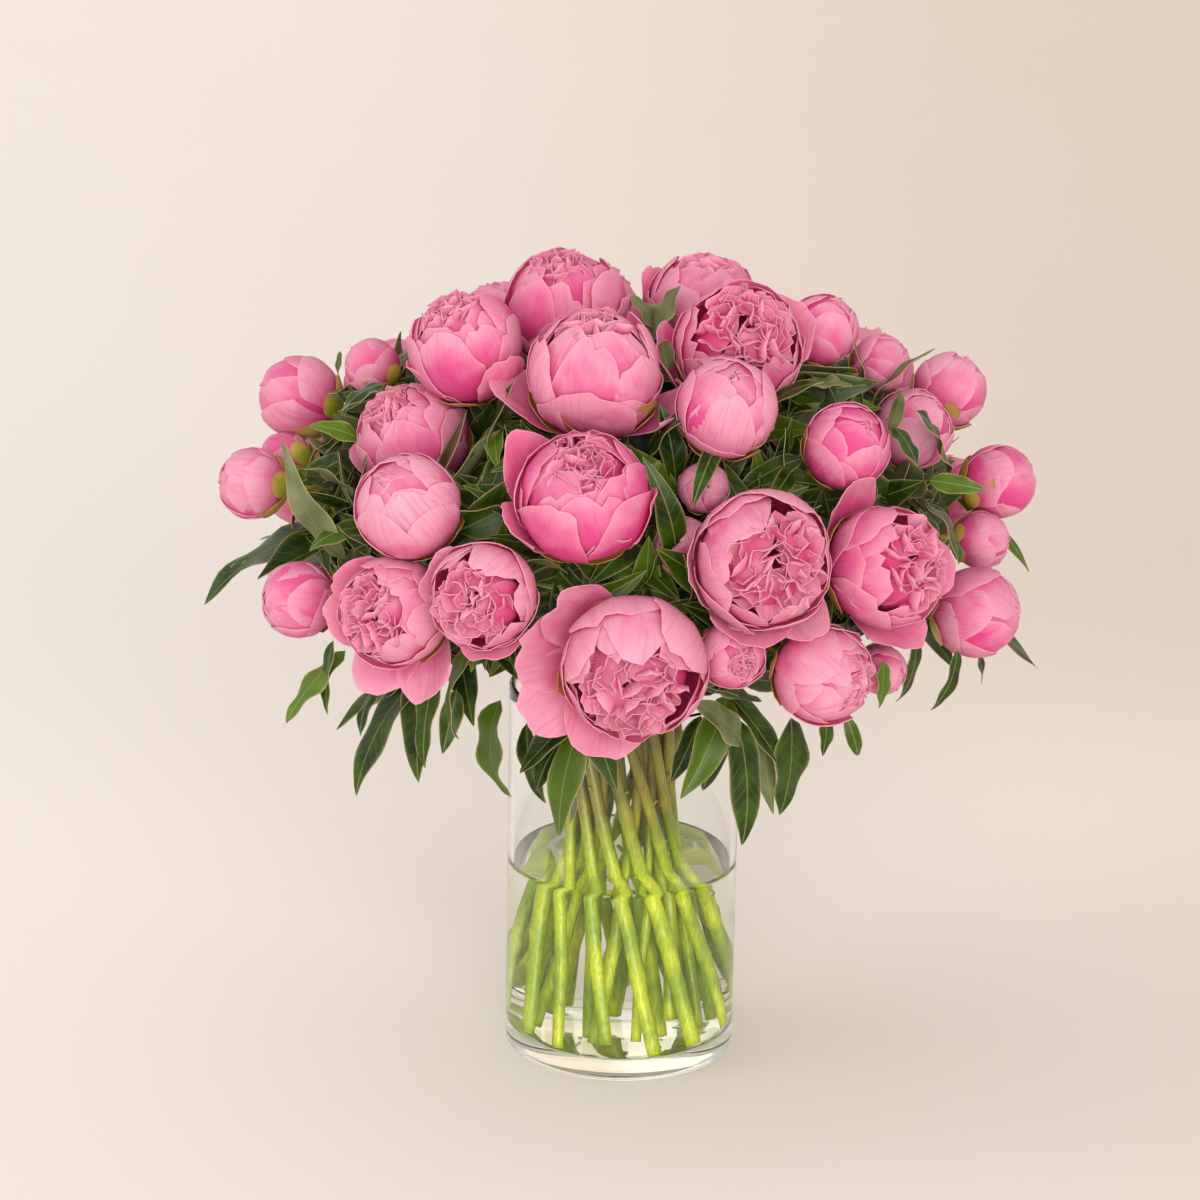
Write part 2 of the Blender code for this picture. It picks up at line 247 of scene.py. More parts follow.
outline = [(0.0, water_top)]
for share in np.linspace(0.0, 1.0, 10):
    outline.append((water_side - meniscus_width * (1 - share), water_top + meniscus_height * share ** 3))
outline += [(water_side, z) for z in np.linspace(water_top - 0.004, 0.026, 8)]
outline += arc(water_side - vase_corner, vase_floor + vase_corner, vase_corner, 0, -90, 8)
outline += [(0.0, vase_floor)]
water = add_piece("water_body", *turned(outline, 128), water_look, "water")
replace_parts(water, "water")


# ---- stems ----------------------------------------------------------------------------------
# Fresh cut peony stems, turned into a spiral bundle by hand: each leans past its neighbour at
# the waist, spreads to the foot of the vase and arches out to its bloom, and most carry a side
# shoot.  They are smooth and faintly ridged, with a low swelling at each leaf scar.

stem_radius = 0.0040
shoot_radius = 0.0028
waist_height = 0.185
bundle_twist = -9.2             # tangent of the bundle's turn, per metre above the waist
bundle_flare = 6.5              # its outward curve, per square metre
twist_lag = -50.0               # degrees from a stem's place in the waist to its bloom's side
leaving_height = 0.245          # where the stems leave the bundle

# bloom: azimuth and elevation that it faces, form, side where it opens in degrees round the bloom
# from its right, how far off its middle the opening sits, tone from peach 0 to magenta 1, and its
# turned-back outer petals, each as (side, degrees spread from upright, length, half width)
bloom_looks = {
    "bloom_top_left": (-30, 75, "cup", 100, 6, 0.8,
                       [(300, 4, 1.7, 0.62), (215, 12, 1.6, 0.60), (10, 10, 1.7, 0.6)]),
    "bloom_upper_left": (-50, 62, "cup", 140, 6, 0.75,
                         [(252, 8, 1.6, 0.62), (350, 22, 1.9, 0.50), (150, 15, 1.8, 0.6)]),
    "bloom_upper_front": (-10, 68, "cup", 90, 10, 0.5,
                          [(352, 44, 1.75, 0.50), (188, 40, 1.75, 0.58), (268, 2, 1.8, 0.75)]),
    "bud_upper_front": (20, 55, "bud", 60, 0, 0.45, [(300, 4, 1.6, 0.62)]),
    "bloom_upper_right": (20, 42, "open", 250, 4, 0.65,
                          [(176, 24, 1.8, 0.60), (232, 16, 1.8, 0.60), (20, 16, 1.8, 0.60)]),
    "bud_right_high": (70, 65, "bud", 0, 0, 0.6, []),
    "bloom_top_right": (60, 75, "cup", 60, 6, 0.6,
                        [(190, 10, 1.7, 0.62), (300, 6, 1.7, 0.62), (90, 10, 1.8, 0.6)]),
    "bloom_rear_top_right": (140, 62, "cup", 0, 6, 0.5, [(90, 14, 1.7, 0.62), (200, 10, 1.7, 0.62)]),
    "bloom_rear_top": (190, 65, "open", 270, 8, 0.5,
                       [(40, 24, 1.8, 0.62), (170, 20, 1.8, 0.62), (270, 8, 1.7, 0.62)]),
    "bloom_rear_top_left": (250, 60, "cup", 0, 6, 0.6, [(20, 14, 1.7, 0.62), (250, 8, 1.7, 0.62)]),
    "bloom_front": (2, 2, "open", 236, 16, 0.3,
                    [(142, 34, 1.75, 0.52), (176, 42, 1.85, 0.58), (208, 46, 1.85, 0.58),
                     (246, 24, 1.80, 0.58)]),
    "bloom_front_right": (12, 15, "open", 340, 8, 0.35,
                          [(262, 22, 1.62, 0.62), (306, 30, 1.70, 0.40), (185, 12, 1.7, 0.60)]),
    "bloom_low_right": (42, -8, "cup", 20, 22, 0.45, [(60, 4, 1.7, 0.62), (345, 22, 1.8, 0.45)]),
    "bloom_right": (42, 15, "open", 0, 14, 0.9,
                    [(98, 38, 1.75, 0.52), (345, 28, 1.85, 0.58), (285, 26, 1.8, 0.62),
                     (225, 6, 1.6, 0.6)]),
    "bud_low_right": (70, 5, "bud", 0, 0, 0.7, []),
    "bud_shoulder_right": (40, 40, "bud", 90, 0, 1.0, []),
    "bud_inner_right": (78, 45, "bud", 90, 0, 0.5, []),
    "bud_far_right_high": (95, 48, "bud", 90, 0, 0.45, []),
    "bud_far_right": (90, 15, "bud", 0, 0, 0.8, []),
    "bloom_rear_right": (125, 40, "cup", 0, 6, 0.5,
                         [(30, 16, 1.7, 0.62), (150, 12, 1.7, 0.62), (280, 8, 1.7, 0.62)]),
    "bud_rear_right_low": (115, 8, "bud", 0, 0, 0.5, []),
    "bloom_rear": (178, 38, "open", 250, 10, 0.5,
                   [(10, 26, 1.8, 0.62), (130, 22, 1.8, 0.6), (250, 16, 1.8, 0.62)]),
    "bloom_rear_low_right": (152, 10, "open", 200, 8, 0.4,
                             [(30, 20, 1.8, 0.62), (190, 34, 1.85, 0.6), (270, 16, 1.8, 0.6)]),
    "bloom_rear_low_left": (205, 8, "cup", 320, 10, 0.6, [(350, 26, 1.8, 0.60), (200, 12, 1.7, 0.62)]),
    "bloom_rear_left": (234, 40, "cup", 0, 6, 0.6, [(60, 12, 1.7, 0.62), (190, 10, 1.7, 0.62)]),
    "bud_rear_left_low": (246, 10, "bud", 0, 0, 0.5, []),
    "bud_far_left_high": (-100, 25, "bud", 0, 0, 0.45, []),
    "bud_far_left": (-86, 5, "bud", 0, 0, 0.4, []),
    "bloom_left": (-60, 45, "cup", 120, 10, 0.6, [(215, 14, 1.7, 0.55), (30, 6, 1.7, 0.62)]),
    "bud_left_globe": (-42, 45, "bud", 0, 0, 0.1, []),
    "bloom_left_low": (-28, 8, "open", 190, 14, 0.5,
                       [(160, 26, 1.7, 0.55), (196, 36, 1.8, 0.58), (250, 50, 1.85, 0.60),
                        (292, 54, 1.8, 0.58)]),
    "bud_low_left": (-64, 8, "bud", 0, 0, 0.6, []),
    "bloom_centre": (-8, 45, "cup", 100, 12, 1.0,
                     [(150, 14, 1.95, 0.52), (205, 16, 1.75, 0.45), (296, 4, 1.6, 0.50),
                      (350, 8, 1.75, 0.45)]),
    "bloom_left_front": (-16, 12, "open", 230, 8, 0.15, [(165, 14, 1.7, 0.60), (280, 12, 1.7, 0.60)]),
}

# stem: place round the waist deg, place out from the axis mm, foot above the floor mm, its
# bloom, and the bloom on its side shoot with the share of the arch where that shoot leaves
stem_places = {
    "stem_inner_left": (-55, 15, 0, "bloom_top_left", "bloom_upper_left", 0.30),
    "stem_inner_front": (10, 17, 3, "bloom_upper_front", "bud_upper_front", 0.35),
    "stem_inner_right": (82, 15, 0, "bloom_upper_right", "bud_right_high", 0.35),
    "stem_inner_rear_right": (154, 16, 5, "bloom_top_right", "bloom_rear_top_right", 0.30),
    "stem_inner_rear": (226, 15, 0, "bloom_rear_top", "bloom_rear_top_left", 0.30),
    "stem_front": (0, 33, 0, "bloom_front", None, 0),
    "stem_front_right": (27, 31, 2, "bloom_front_right", "bloom_low_right", 0.40),
    "stem_right": (56, 33, 0, "bloom_right", "bud_low_right", 0.40),
    "stem_shoulder_right": (83, 31, 8, "bud_shoulder_right", "bud_inner_right", 0.35),
    "stem_far_right": (111, 33, 0, "bud_far_right_high", "bud_far_right", 0.40),
    "stem_rear_right": (138, 31, 0, "bloom_rear_right", "bud_rear_right_low", 0.35),
    "stem_rear": (166, 33, 4, "bloom_rear", "bloom_rear_low_right", 0.35),
    "stem_rear_low": (194, 31, 0, "bloom_rear_low_left", None, 0),
    "stem_rear_left": (222, 33, 0, "bloom_rear_left", "bud_rear_left_low", 0.35),
    "stem_far_left": (250, 31, 6, "bud_far_left_high", "bud_far_left", 0.45),
    "stem_left": (277, 33, 0, "bloom_left", "bud_left_globe", 0.25),
    "stem_left_low": (305, 31, 0, "bloom_left_low", "bud_low_left", 0.40),
    "stem_centre": (333, 33, 2, "bloom_centre", "bloom_left_front", 0.40),
}

# smaller blooms between the large ones, on stems of their own: azimuth deg, distance from the
# axis, height and diameter mm, azimuth and elevation that it faces, form, place round the waist
small_blooms = {
    "small_bud_left_rear": (-90, 165, 460, 36, -90, 40, "bud", 262),
    "small_bud_left": (-95, 222, 392, 34, -110, 10, "bud", 236),
    "small_bud_right_rear": (88, 158, 469, 38, 85, 40, "bud", 97),
    "small_bud_right": (84, 226, 358, 38, 84, 0, "bud", 70),
    "small_bud_mid_high": (16, 162, 432, 32, 10, 30, "bud", 14),
    "small_bud_mid": (11, 172, 398, 38, 8, 25, "bud", 345),
    "small_bud_low": (17, 216, 342, 44, 22, 0, "cup", 42),
    "small_bud_low_right": (50, 206, 308, 32, 62, -5, "bud", 125),
    "small_bud_rear_high": (153, 200, 440, 50, 150, 40, "bud", 152),
    "small_bud_rear_mid": (206, 202, 440, 58, 206, 40, "cup", 208),
    "small_bud_rear_low": (178, 236, 352, 46, 178, 5, "bud", 180),
    "small_bud_rear_side": (226, 234, 350, 48, 226, 8, "cup", 291),
}
small_stem_distance = 0.0235
small_stem_radius = 0.0031


def direction(azimuth, elevation=0.0):
    """Unit vector out at an azimuth, 0 at the front and 90 at the right, and up."""
    a, e = math.radians(azimuth), math.radians(elevation)
    return Vector((math.sin(a) * math.cos(e), -math.cos(a) * math.cos(e), math.sin(e)))


def seat(node, axis):
    """Centre and radius of a plain bloom: its neck is its lowest place along its axis, and it
    is nowhere further from that axis than its radius."""
    points = np.array([v.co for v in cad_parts[node].data.vertices])
    along = points @ np.array(axis)
    neck_place = points[along < along.min() + 0.0002].mean(0)
    off = points - neck_place
    off -= np.outer(off @ np.array(axis), np.array(axis))
    lengths = np.linalg.norm(off, axis=1)
    radius, neck_radius = lengths.max(), lengths[along < along.min() + 0.0002].max()
    return Vector(neck_place) + axis * math.sqrt(radius ** 2 - neck_radius ** 2), radius


blooms = {}
for name, (azimuth, elevation, *growth) in bloom_looks.items():
    axis = direction(azimuth, elevation)
    centre, radius = seat(name, axis)
    blooms[name] = (centre, radius, axis, growth)
for name, (azimuth, distance, height, width, turned_to, lifted_to, form, _) in small_blooms.items():
    centre = direction(azimuth) * distance / 1000 + Vector((0, 0, height / 1000))
    blooms[name] = (centre, width / 2000, direction(turned_to, lifted_to), (form, 0, 0, 0.5, []))


def bundle_point(azimuth, distance, height, crossing=False):
    """A place in the bundle; crossing stems lean back the other way below the waist."""
    above = height - waist_height
    turned_by = math.sqrt(above ** 2 + 0.0005) if crossing else above
    factor = 1 + 1j * bundle_twist * turned_by + bundle_flare * above ** 2
    spot = cmath.rect(distance, math.radians(azimuth - twist_lag - 90)) * factor
    return Vector((spot.real, spot.imag, height))


def bezier(a, b, c, d, t):
    s = 1 - t
    return a * s ** 3 + b * 3 * s * s * t + c * 3 * s * t * t + d * t ** 3


def arch(start, heading, bloom, lean):
    """Control points of the curve from the bundle, or from a fork, out to a bloom's neck."""
    centre, radius, axis = blooms[bloom][:3]
    end = centre - axis * (radius * 0.985)
    span = (end - start).length
    return start, start + heading * span * lean, end - axis * span * 0.38, end


def stem_arch(azimuth, distance, bloom, crossing=False):
    rim = bundle_point(azimuth, distance, leaving_height, crossing)
    heading = (rim - bundle_point(azimuth, distance, leaving_height - 0.01, crossing)).normalized()
    return arch(rim, heading, bloom, 0.38)


def shoot_arch(controls, share, bloom):
    start = bezier(*controls, share)
    ahead = (bezier(*controls, share + 0.02) - start).normalized()
    toward = (blooms[bloom][0] - start).normalized()
    return arch(start, (ahead * 0.55 + toward * 0.45).normalized(), bloom, 0.30)


def resampled(route, step):
    """The same line with evenly spaced points."""
    route = np.array([tuple(p) for p in route])
    travel = np.concatenate(([0.0], np.cumsum(np.linalg.norm(np.diff(route, axis=0), axis=1))))
    marks = np.linspace(0.0, travel[-1], max(4, round(travel[-1] / step)))
    return np.stack([np.interp(marks, travel, route[:, k]) for k in range(3)], axis=1), marks


def ridged_tube(route, radius, taper, dice, sides=10):
    """Points and faces of a closed stem along a line, with ridges and a swelling at each scar."""
    line, marks = resampled(route, 0.005)
    ahead = np.gradient(line, axis=0)
    ahead /= np.linalg.norm(ahead, axis=1)[:, None]
    side = np.cross(ahead, (0.36, 0.93, 0.08))
    side /= np.linalg.norm(side, axis=1)[:, None]
    over = np.cross(ahead, side)
    angles = np.linspace(0, math.tau, sides, endpoint=False)
    size = radius * (1 + (taper - 1) * marks / marks[-1])
    scar = dice.uniform(0.05, 0.10)
    while scar < marks[-1] - 0.02:
        size = size * (1 + 0.22 * np.exp(-((marks - scar) / 0.0035) ** 2))
        scar += dice.uniform(0.07, 0.11)
    ridge = 1 + 0.05 * np.cos(3 * angles + dice.uniform(0, 6)) + 0.03 * np.cos(5 * angles)
    spread = size[:, None, None] * ridge[None, :, None]
    ring = side[:, None] * np.cos(angles)[None, :, None] + over[:, None] * np.sin(angles)[None, :, None]
    wander = 0.0007 * np.sin(marks * dice.uniform(40, 60) + dice.uniform(0, 6))
    points = line[:, None] + ring * spread + side[:, None] * wander[:, None, None]
    points = points.reshape(-1, 3)
    faces = []
    for i in range(len(line) - 1):
        for k in range(sides):
            a, b = i * sides + k, i * sides + (k + 1) % sides
            faces.append((a, b, b + sides, a + sides))
    last = (len(line) - 1) * sides
    faces.append(tuple(range(sides - 1, -1, -1)))
    faces.append(tuple(range(last, last + sides)))
    return points, faces


def joined(parts):
    """Points and faces of several meshes as one."""
    points, faces, start = [], [], 0
    for some_points, some_faces in parts:
        points.extend(some_points)
        faces.extend(tuple(i + start for i in face) for face in some_faces)
        start += len(some_points)
    return points, faces


stem_look, stem_shader, stem_start = new_finish("fresh stem", Roughness=0.42, Coat_Weight=0.15)
height_in_vase = place_of(stem_start).part(2)
stretched = stem_start.node("ShaderNodeMapping", {}, {0: place_of(stem_start), 3: (1.0, 1.0, 0.12)})
streaks = noise(stem_start, stretched, 900.0, 3.0)
patches = noise(stem_start, place_of(stem_start), 28.0, 2.0).between(0.35, 0.68)
# The stems are coloured much lighter and yellower below the waterline than above it.
stem_green_above_water = patches.tint((0.155, 0.135, 0.002), (0.330, 0.270, 0.006))
stem_green_below_water = patches.tint((0.25, 0.38, 0.002), (0.62, 0.68, 0.010))
body_green = height_in_vase.between(0.185, 0.130).tint(stem_green_above_water, stem_green_below_water)
feed(stem_shader, "Base Color", (streaks.between(0.3, 0.8) * 0.55).tint(body_green, (0.085, 0.075, 0.008)))
feed(stem_shader, "Roughness", streaks * 0.25 + 0.28)
bump(stem_start, stem_shader, streaks, 0.25, 0.0004)

dice = random.Random(7)
arches = {}
for name, (azimuth, distance, lift, bloom, side_bloom, share) in stem_places.items():
    distance = distance / 1000
    arches[name] = stem_arch(azimuth, distance, bloom)
    foot = vase_floor + 0.002 + lift / 1000
    low = [bundle_point(azimuth, distance, z) for z in np.linspace(foot, leaving_height, 24)[:-1]]
    high = [bezier(*arches[name], t) for t in np.linspace(0, 1, 30)]
    parts = [ridged_tube(low + high, stem_radius * dice.uniform(0.95, 1.28), 0.72, dice)]
    for k in dice.sample(range(5, 22), 2):
        out = Vector((dice.gauss(0, 1), dice.gauss(0, 1), 0.0)).normalized()
        way = (out + Vector((0, 0, dice.uniform(0.6, 1.4)))).normalized()
        root = low[k] + out * stem_radius * 0.5
        parts.append(ridged_tube([root, root + way * dice.uniform(0.005, 0.011)], 0.0014, 0.9, dice, 7))
    if side_bloom:
        curve = shoot_arch(arches[name], share, side_bloom)
        arches[name + "_shoot"] = curve
        route = [bezier(*curve, t) for t in np.linspace(0, 1, 24)]
        parts.append(ridged_tube(route, shoot_radius, 0.95, dice))
    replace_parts(add_piece("cut_" + name, *joined(parts), stem_look, "stem_green"), name)

for name, (*_, waist_azimuth) in small_blooms.items():
    stem = "stem_of_" + name
    arches[stem] = stem_arch(waist_azimuth, small_stem_distance, name, True)
    foot = vase_floor + 0.002 + dice.uniform(0.0, 0.02)
    low = [bundle_point(waist_azimuth, small_stem_distance, z, True)
           for z in np.linspace(foot, leaving_height, 24)[:-1]]
    high = [bezier(*arches[stem], t) for t in np.linspace(0, 1, 30)]
    thickness = small_stem_radius * dice.uniform(0.9, 1.35)
    add_piece(stem, *ridged_tube(low + high, thickness, 0.7, dice), stem_look, "stem_green")


# ---- air bubbles ----------------------------------------------------------------------------
# Small round bubbles of air in the water.  They cling to the stems below the waterline and to
# the glass at the bottom.

bubble_count = 80

bubble_look, bubble_shader, bubble_start = new_finish(
    "air in water", Roughness=0.0, IOR=0.75, Transmission_Weight=1.0)
bubble_clouds = noise(bubble_start, place_of(bubble_start), 40.0)
feed(bubble_shader, "Base Color", bubble_clouds.tint((0.97, 1, 0.95), (1, 1, 0.98)))
let_light_through(bubble_start, (0.99, 1.0, 0.98))


def bubble(centre, radius):
    outline = [(radius * math.cos(a), radius * math.sin(a)) for a in np.radians(np.linspace(-90, 90, 8))]
    points, faces = turned(outline, 10)
    return [tuple(c + p for c, p in zip(centre, point)) for point in points], faces


dice = random.Random(29)
bubbles = []
for _ in range(bubble_count):
    high_up = dice.random() < 0.6
    azimuth, distance, lift = dice.choice(list(stem_places.values()))[:3]
    level = water_top - dice.uniform(0.002, 0.022) if high_up else vase_floor + dice.uniform(0.004, 0.03)
    side = Vector((dice.gauss(0, 1), dice.gauss(0, 1), 0.0)).normalized()
    spot = bundle_point(azimuth, distance / 1000, level) + side * (stem_radius * 1.25)
    if not high_up and dice.random() < 0.5:
        spot = direction(dice.uniform(-180, 180)) * dice.uniform(0.02, inner_radius - 0.008)
        spot.z = vase_floor + 0.0015
    bubbles.append(bubble(spot, dice.uniform(0.0007, 0.0017)))
add_piece("air_bubbles", *joined(bubbles), bubble_look, "water")


# ---- blooms ---------------------------------------------------------------------------------
# Double peonies from tight bud to half open.  Broad outer petals lap round the ball from the
# calyx, each with one edge over its neighbour; open ones show a crowded heart of small, torn,
# folded petals.  Petals are thin and pale along the edge.  Their darker pink toward the base and
# in the folds is partly their own colour and partly painted shade.

petal_thickness = 0.00045
pink_pale = (0.93, 0.54, 0.66)
pink_body = (0.87, 0.225, 0.42)
pink_magenta = (0.83, 0.095, 0.36)
# The two darkest pinks are painted shade over the petals' own darker pink at the base: they colour the
# folds and the inner petals that lie in the bloom's shadow.
pink_hot_fold_shade = (0.82, 0.070, 0.29)
pink_deep_recess_shade = (0.68, 0.015, 0.17)
golden_angle = 2.39996          # spreads the petals of a heart evenly


class Sheets:
    """Thin grown sheets, such as petals and leaflets, gathered into one mesh."""

    def __init__(self):
        self.points, self.faces, self.grown, self.place, self.side = [], [], [], [], []
        self.count = 0

    def add(self, points, grown, place, thickness):
        """Give a grid of points its thickness.  grown is metres across and along it and a number
        of its own; place is three shares that its finish uses."""
        rows, columns = points.shape[:2]
        normal = np.cross(np.gradient(points, axis=0), np.gradient(points, axis=1))
        normal /= np.linalg.norm(normal, axis=2)[..., None] + 1e-12
        shell = normal * thickness / 2
        spots = np.arange(rows * columns).reshape(rows, columns)
        rim = np.concatenate((spots[0, :-1], spots[:-1, -1], spots[-1, :0:-1], spots[:0:-1, 0]))
        upper, lower = (points + shell).reshape(-1, 3), (points - shell).reshape(-1, 3)
        self.points += [upper, lower, upper[rim], lower[rim]]
        flat_grown, flat_place = grown.reshape(-1, 3), place.reshape(-1, 3)
        self.grown += [flat_grown, flat_grown, flat_grown[rim], flat_grown[rim]]
        self.place += [flat_place, flat_place, flat_place[rim], flat_place[rim]]
        self.side += [np.zeros(len(upper)), np.ones(len(upper)), np.full(2 * len(rim), 0.5)]
        corners = spots[:-1, :-1], spots[1:, :-1], spots[1:, 1:], spots[:-1, 1:]
        quads = np.stack([c.ravel() for c in corners], axis=1)
        ring = np.arange(len(rim))
        high, low = 2 * len(upper) + ring, 2 * len(upper) + len(rim) + ring
        edge = np.stack((high, np.roll(high, -1), np.roll(low, -1), low), axis=1)
        for some in (quads, quads[:, ::-1] + len(upper), edge):
            self.faces.append(some + self.count)
        self.count += 2 * len(upper) + 2 * len(rim)

    def piece(self, name, finish, slot, spot=Matrix(), tone=0.5):
        """The mesh as a piece, moved by the matrix spot."""
        spot = np.array(spot)
        points = np.concatenate(self.points) @ spot[:3, :3].T + spot[:3, 3]
        made = add_piece(name, points, np.concatenate(self.faces).tolist(), finish, slot)
        for attribute, values in (("grown", self.grown), ("place", self.place)):
            layer = made.data.attributes.new(attribute, "FLOAT_VECTOR", "POINT")
            layer.data.foreach_set("vector", np.concatenate(values).astype(np.float32).ravel())
        layer = made.data.attributes.new("side_tone", "FLOAT_VECTOR", "POINT")
        side = np.concatenate(self.side)
        layer.data.foreach_set("vector", np.stack((side, side * 0 + tone, side * 0), axis=1)
                               .astype(np.float32).ravel())
        return made


def smooth(x):
    x = np.clip(x, 0.0, 1.0)
    return x * x * (3 - 2 * x)


def grid(rows, columns):
    """Shares along, closer toward the tip, and across from -1 to 1, closer toward the edges."""
    along = 1 - (1 - np.linspace(0, 1, rows + 1)) ** 1.4
    return along[:, None], np.sin(np.linspace(-1, 1, columns + 1) * math.pi / 2)[None, :]


def bent_line(start, first_turn, length, turning):
    """A line in the (out, up) plane and its turn at each of its points; turning is the turn
    gained per share of its length."""
    marks = np.linspace(0, 1, 60)
    rate = turning(marks) / 59
    turn = first_turn + np.concatenate(([0.0], np.cumsum((rate[1:] + rate[:-1]) / 2)))
    steps = np.stack((np.cos(turn), np.sin(turn)), axis=1) * length / 59
    return np.concatenate(([start], start + np.cumsum((steps[1:] + steps[:-1]) / 2, axis=0))), turn


def sheet(line, turn, share, across, curl_radius, lift):
    """Lay a flat grid over a bent line: share along it, metres across it, rolled to curl_radius
    from side to side and lifted off it."""
    marks = np.linspace(0, 1, len(line))
    out, up, bend = (np.interp(share, marks, values) for values in (line[:, 0], line[:, 1], turn))
    rise = curl_radius * (1 - np.cos(across / curl_radius)) + lift
    sideways = curl_radius * np.sin(across / curl_radius)
    return np.stack((out - np.sin(bend) * rise, sideways, up + np.cos(bend) * rise), axis=-1)


def spun(points, angle):
    """Points turned about the upright axis."""
    c, s = math.cos(angle), math.sin(angle)
    x, y, z = points[..., 0], points[..., 1], points[..., 2]
    return np.stack((x * c - y * s, x * s + y * c, z), axis=-1)


def tipped(points, angle):
    """Points tipped from upright toward +X."""
    c, s = math.cos(angle), math.sin(angle)
    x, y, z = points[..., 0], points[..., 1], points[..., 2]
    return np.stack((x * c + z * s, y, z * c - x * s), axis=-1)


def torn(v, dice, depth, waves=(2.2, 5.0, 11.0)):
    """Uneven end of a petal: the share of its length that is missing at each place across."""
    lost = sum(np.sin(w * v + dice.uniform(0, 6)) / (i + 1) for i, w in enumerate(waves))
    return depth * (lost + 1.2)


def petal(sheets, ball, side, first, length, turn, width, dice, end_turn=0.0, lap=0.018, tear=0.02,
          frill=0.017, curl=1.0, lean=0.0, depth=0.0, rows=18, columns=14):
    """A broad petal of a bloom of radius ball.  It starts at the angle first above the neck and
    turns by turn over its length, both in degrees, and by end_turn more near its tip."""
    u, v = grid(rows, columns)
    crown = 0.30 * np.abs(v) ** 2.6 + torn(v, dice, tear)
    crown = crown + dice.uniform(0.0, 3.0) * tear * np.exp(-((v - dice.uniform(-0.4, 0.4)) / 0.12) ** 2)
    share = u * (1 - crown * u ** 2)
    first, turn, end_turn = (math.radians(a) for a in (first, turn, end_turn))
    start = np.array((ball * math.sin(first), -ball * math.cos(first)))
    early, late = (1.7, 1.4) if curl > 1 else (1.0, 0.0)
    line, bend = bent_line(start, first, length * ball,
                           lambda m: turn * (early - late * m) + end_turn * 4 * smooth((m - 0.72) / 0.28))
    half = width * ball * (0.28 + 0.72 * np.sin(math.pi / 2 * np.minimum(1, share / 0.60)))
    across = v * half + lean * ball * share ** 2
    wave = np.sin(v * dice.uniform(3, 6) + dice.uniform(0, 6)) * u ** 4
    wave = wave + np.sin(u * dice.uniform(6, 11) + dice.uniform(0, 6)) * np.abs(v) ** 3 * u
    wave = wave + 0.5 * np.sin(v * dice.uniform(9, 14) + dice.uniform(0, 6)) * u ** 10
    swell = np.sin(2.6 * v + dice.uniform(0, 6)) * np.sin(3.1 * u + dice.uniform(0, 6))
    crease = -0.014 * np.exp(-(v / 0.14) ** 2) * smooth(u * 2) * smooth((1 - u) * 3)
    ripple = np.sin(v * dice.uniform(16, 26) + 2.0 * np.sin(4 * u + dice.uniform(0, 6)))
    fine = 0.003 * ripple * smooth(u * 2)
    lift = ball * (-lap * v + frill * wave + 0.014 * swell + crease + fine)
    points = spun(sheet(line, bend, share, across, ball * (1 + (curl - 1) * share), lift), side)
    sheets.add(points, *petal_colouring(u, v, share * length * ball, across, dice, depth), petal_thickness)


def petal_colouring(u, v, along, across, dice, depth, rim=50):
    """What the petal finish reads: metres across and along, then reach, edge and depth; depth is painted
    shade, and the higher it is, the darker the petal is coloured.
    """
    one = np.ones_like(u * v)
    grown = np.stack((across * one, along * one, one * dice.uniform(0, 9)), axis=-1)
    edge = np.maximum(np.abs(v) ** rim * smooth(u * 3), u ** rim) * one
    edge = np.maximum(edge, 0.45 * np.maximum(np.abs(v) ** 6 * smooth(u * 2), u ** 7))
    return grown, np.stack((u * one, edge, one * (depth + dice.uniform(-0.2, 0.2))), axis=-1)


def heart_petal(sheets, root, tilt, side, facing, length, width, hood, depth, dice):
    """A small torn petal of the heart.  It stands on a ball of radius root, tilted from the
    axis toward a side, faces its own way and hooks over by hood."""
    u, v = grid(10, 8)
    crown = 0.30 * np.abs(v) ** 2.2 + torn(v, dice, 0.07, (3.0, 7.0, 12.0))
    share = u * (1 - crown * u ** 2)
    lean = math.radians(dice.uniform(76, 100))
    line, turn = bent_line(np.zeros(2), lean, length, lambda m: hood * 3.2 * m ** 2.2)
    half = width * (0.30 + 0.70 * np.sin(math.pi / 2 * np.minimum(1, share / 0.7)))
    across = v * half
    wave = np.sin(v * dice.uniform(4, 8) + dice.uniform(0, 6)) * u ** 2
    fold = dice.uniform(-0.6, 1.1) * np.abs(v) ** 1.4 * u
    lift = width * (0.14 * wave + 0.26 * fold)
    points = sheet(line, turn, share, across, width * dice.uniform(0.7, 1.5), lift)
    points = spun(points, facing) + np.array((0, 0, root))
    points = spun(tipped(points, tilt), side)
    colouring = petal_colouring(u, v, share * length, across, dice, depth, 12)
    sheets.add(points, *colouring, petal_thickness * 0.8)


def add_heart(sheets, ball, opening, middle, dice, count, level):
    """Crowd the opening of a bloom, which reaches opening degrees from its middle, with folded
    petals whose tips keep the round of the bloom; middle is (degrees off the axis, side)."""
    off, off_side = math.radians(middle[0]), math.radians(middle[1])
    for i in range(count):
        tilt = math.radians(opening) * math.sqrt((i + 0.3) / count)
        side = i * golden_angle + dice.uniform(-0.3, 0.3)
        way = np.array((math.sin(tilt) * math.cos(side), math.sin(tilt) * math.sin(side), math.cos(tilt)))
        way = spun(tipped(way, off), off_side)
        real_tilt, real_side = math.acos(way[2]), math.atan2(way[1], way[0])
        root = ball * 0.58
        length = (level * dice.uniform(0.92, 1.02) - 0.58) * ball * 1.14
        facing = dice.gauss(0, 1.0)
        width = ball * dice.uniform(0.18, 0.36)
        hood = dice.uniform(0.4, 1.6)
        # painted light: a low depth colours the heart petals paler than their own pink, against the shade
        # they lie in.
        depth = dice.uniform(-0.75, -0.3)
        heart_petal(sheets, root, real_tilt, real_side, facing, length, width, hood, depth, dice)


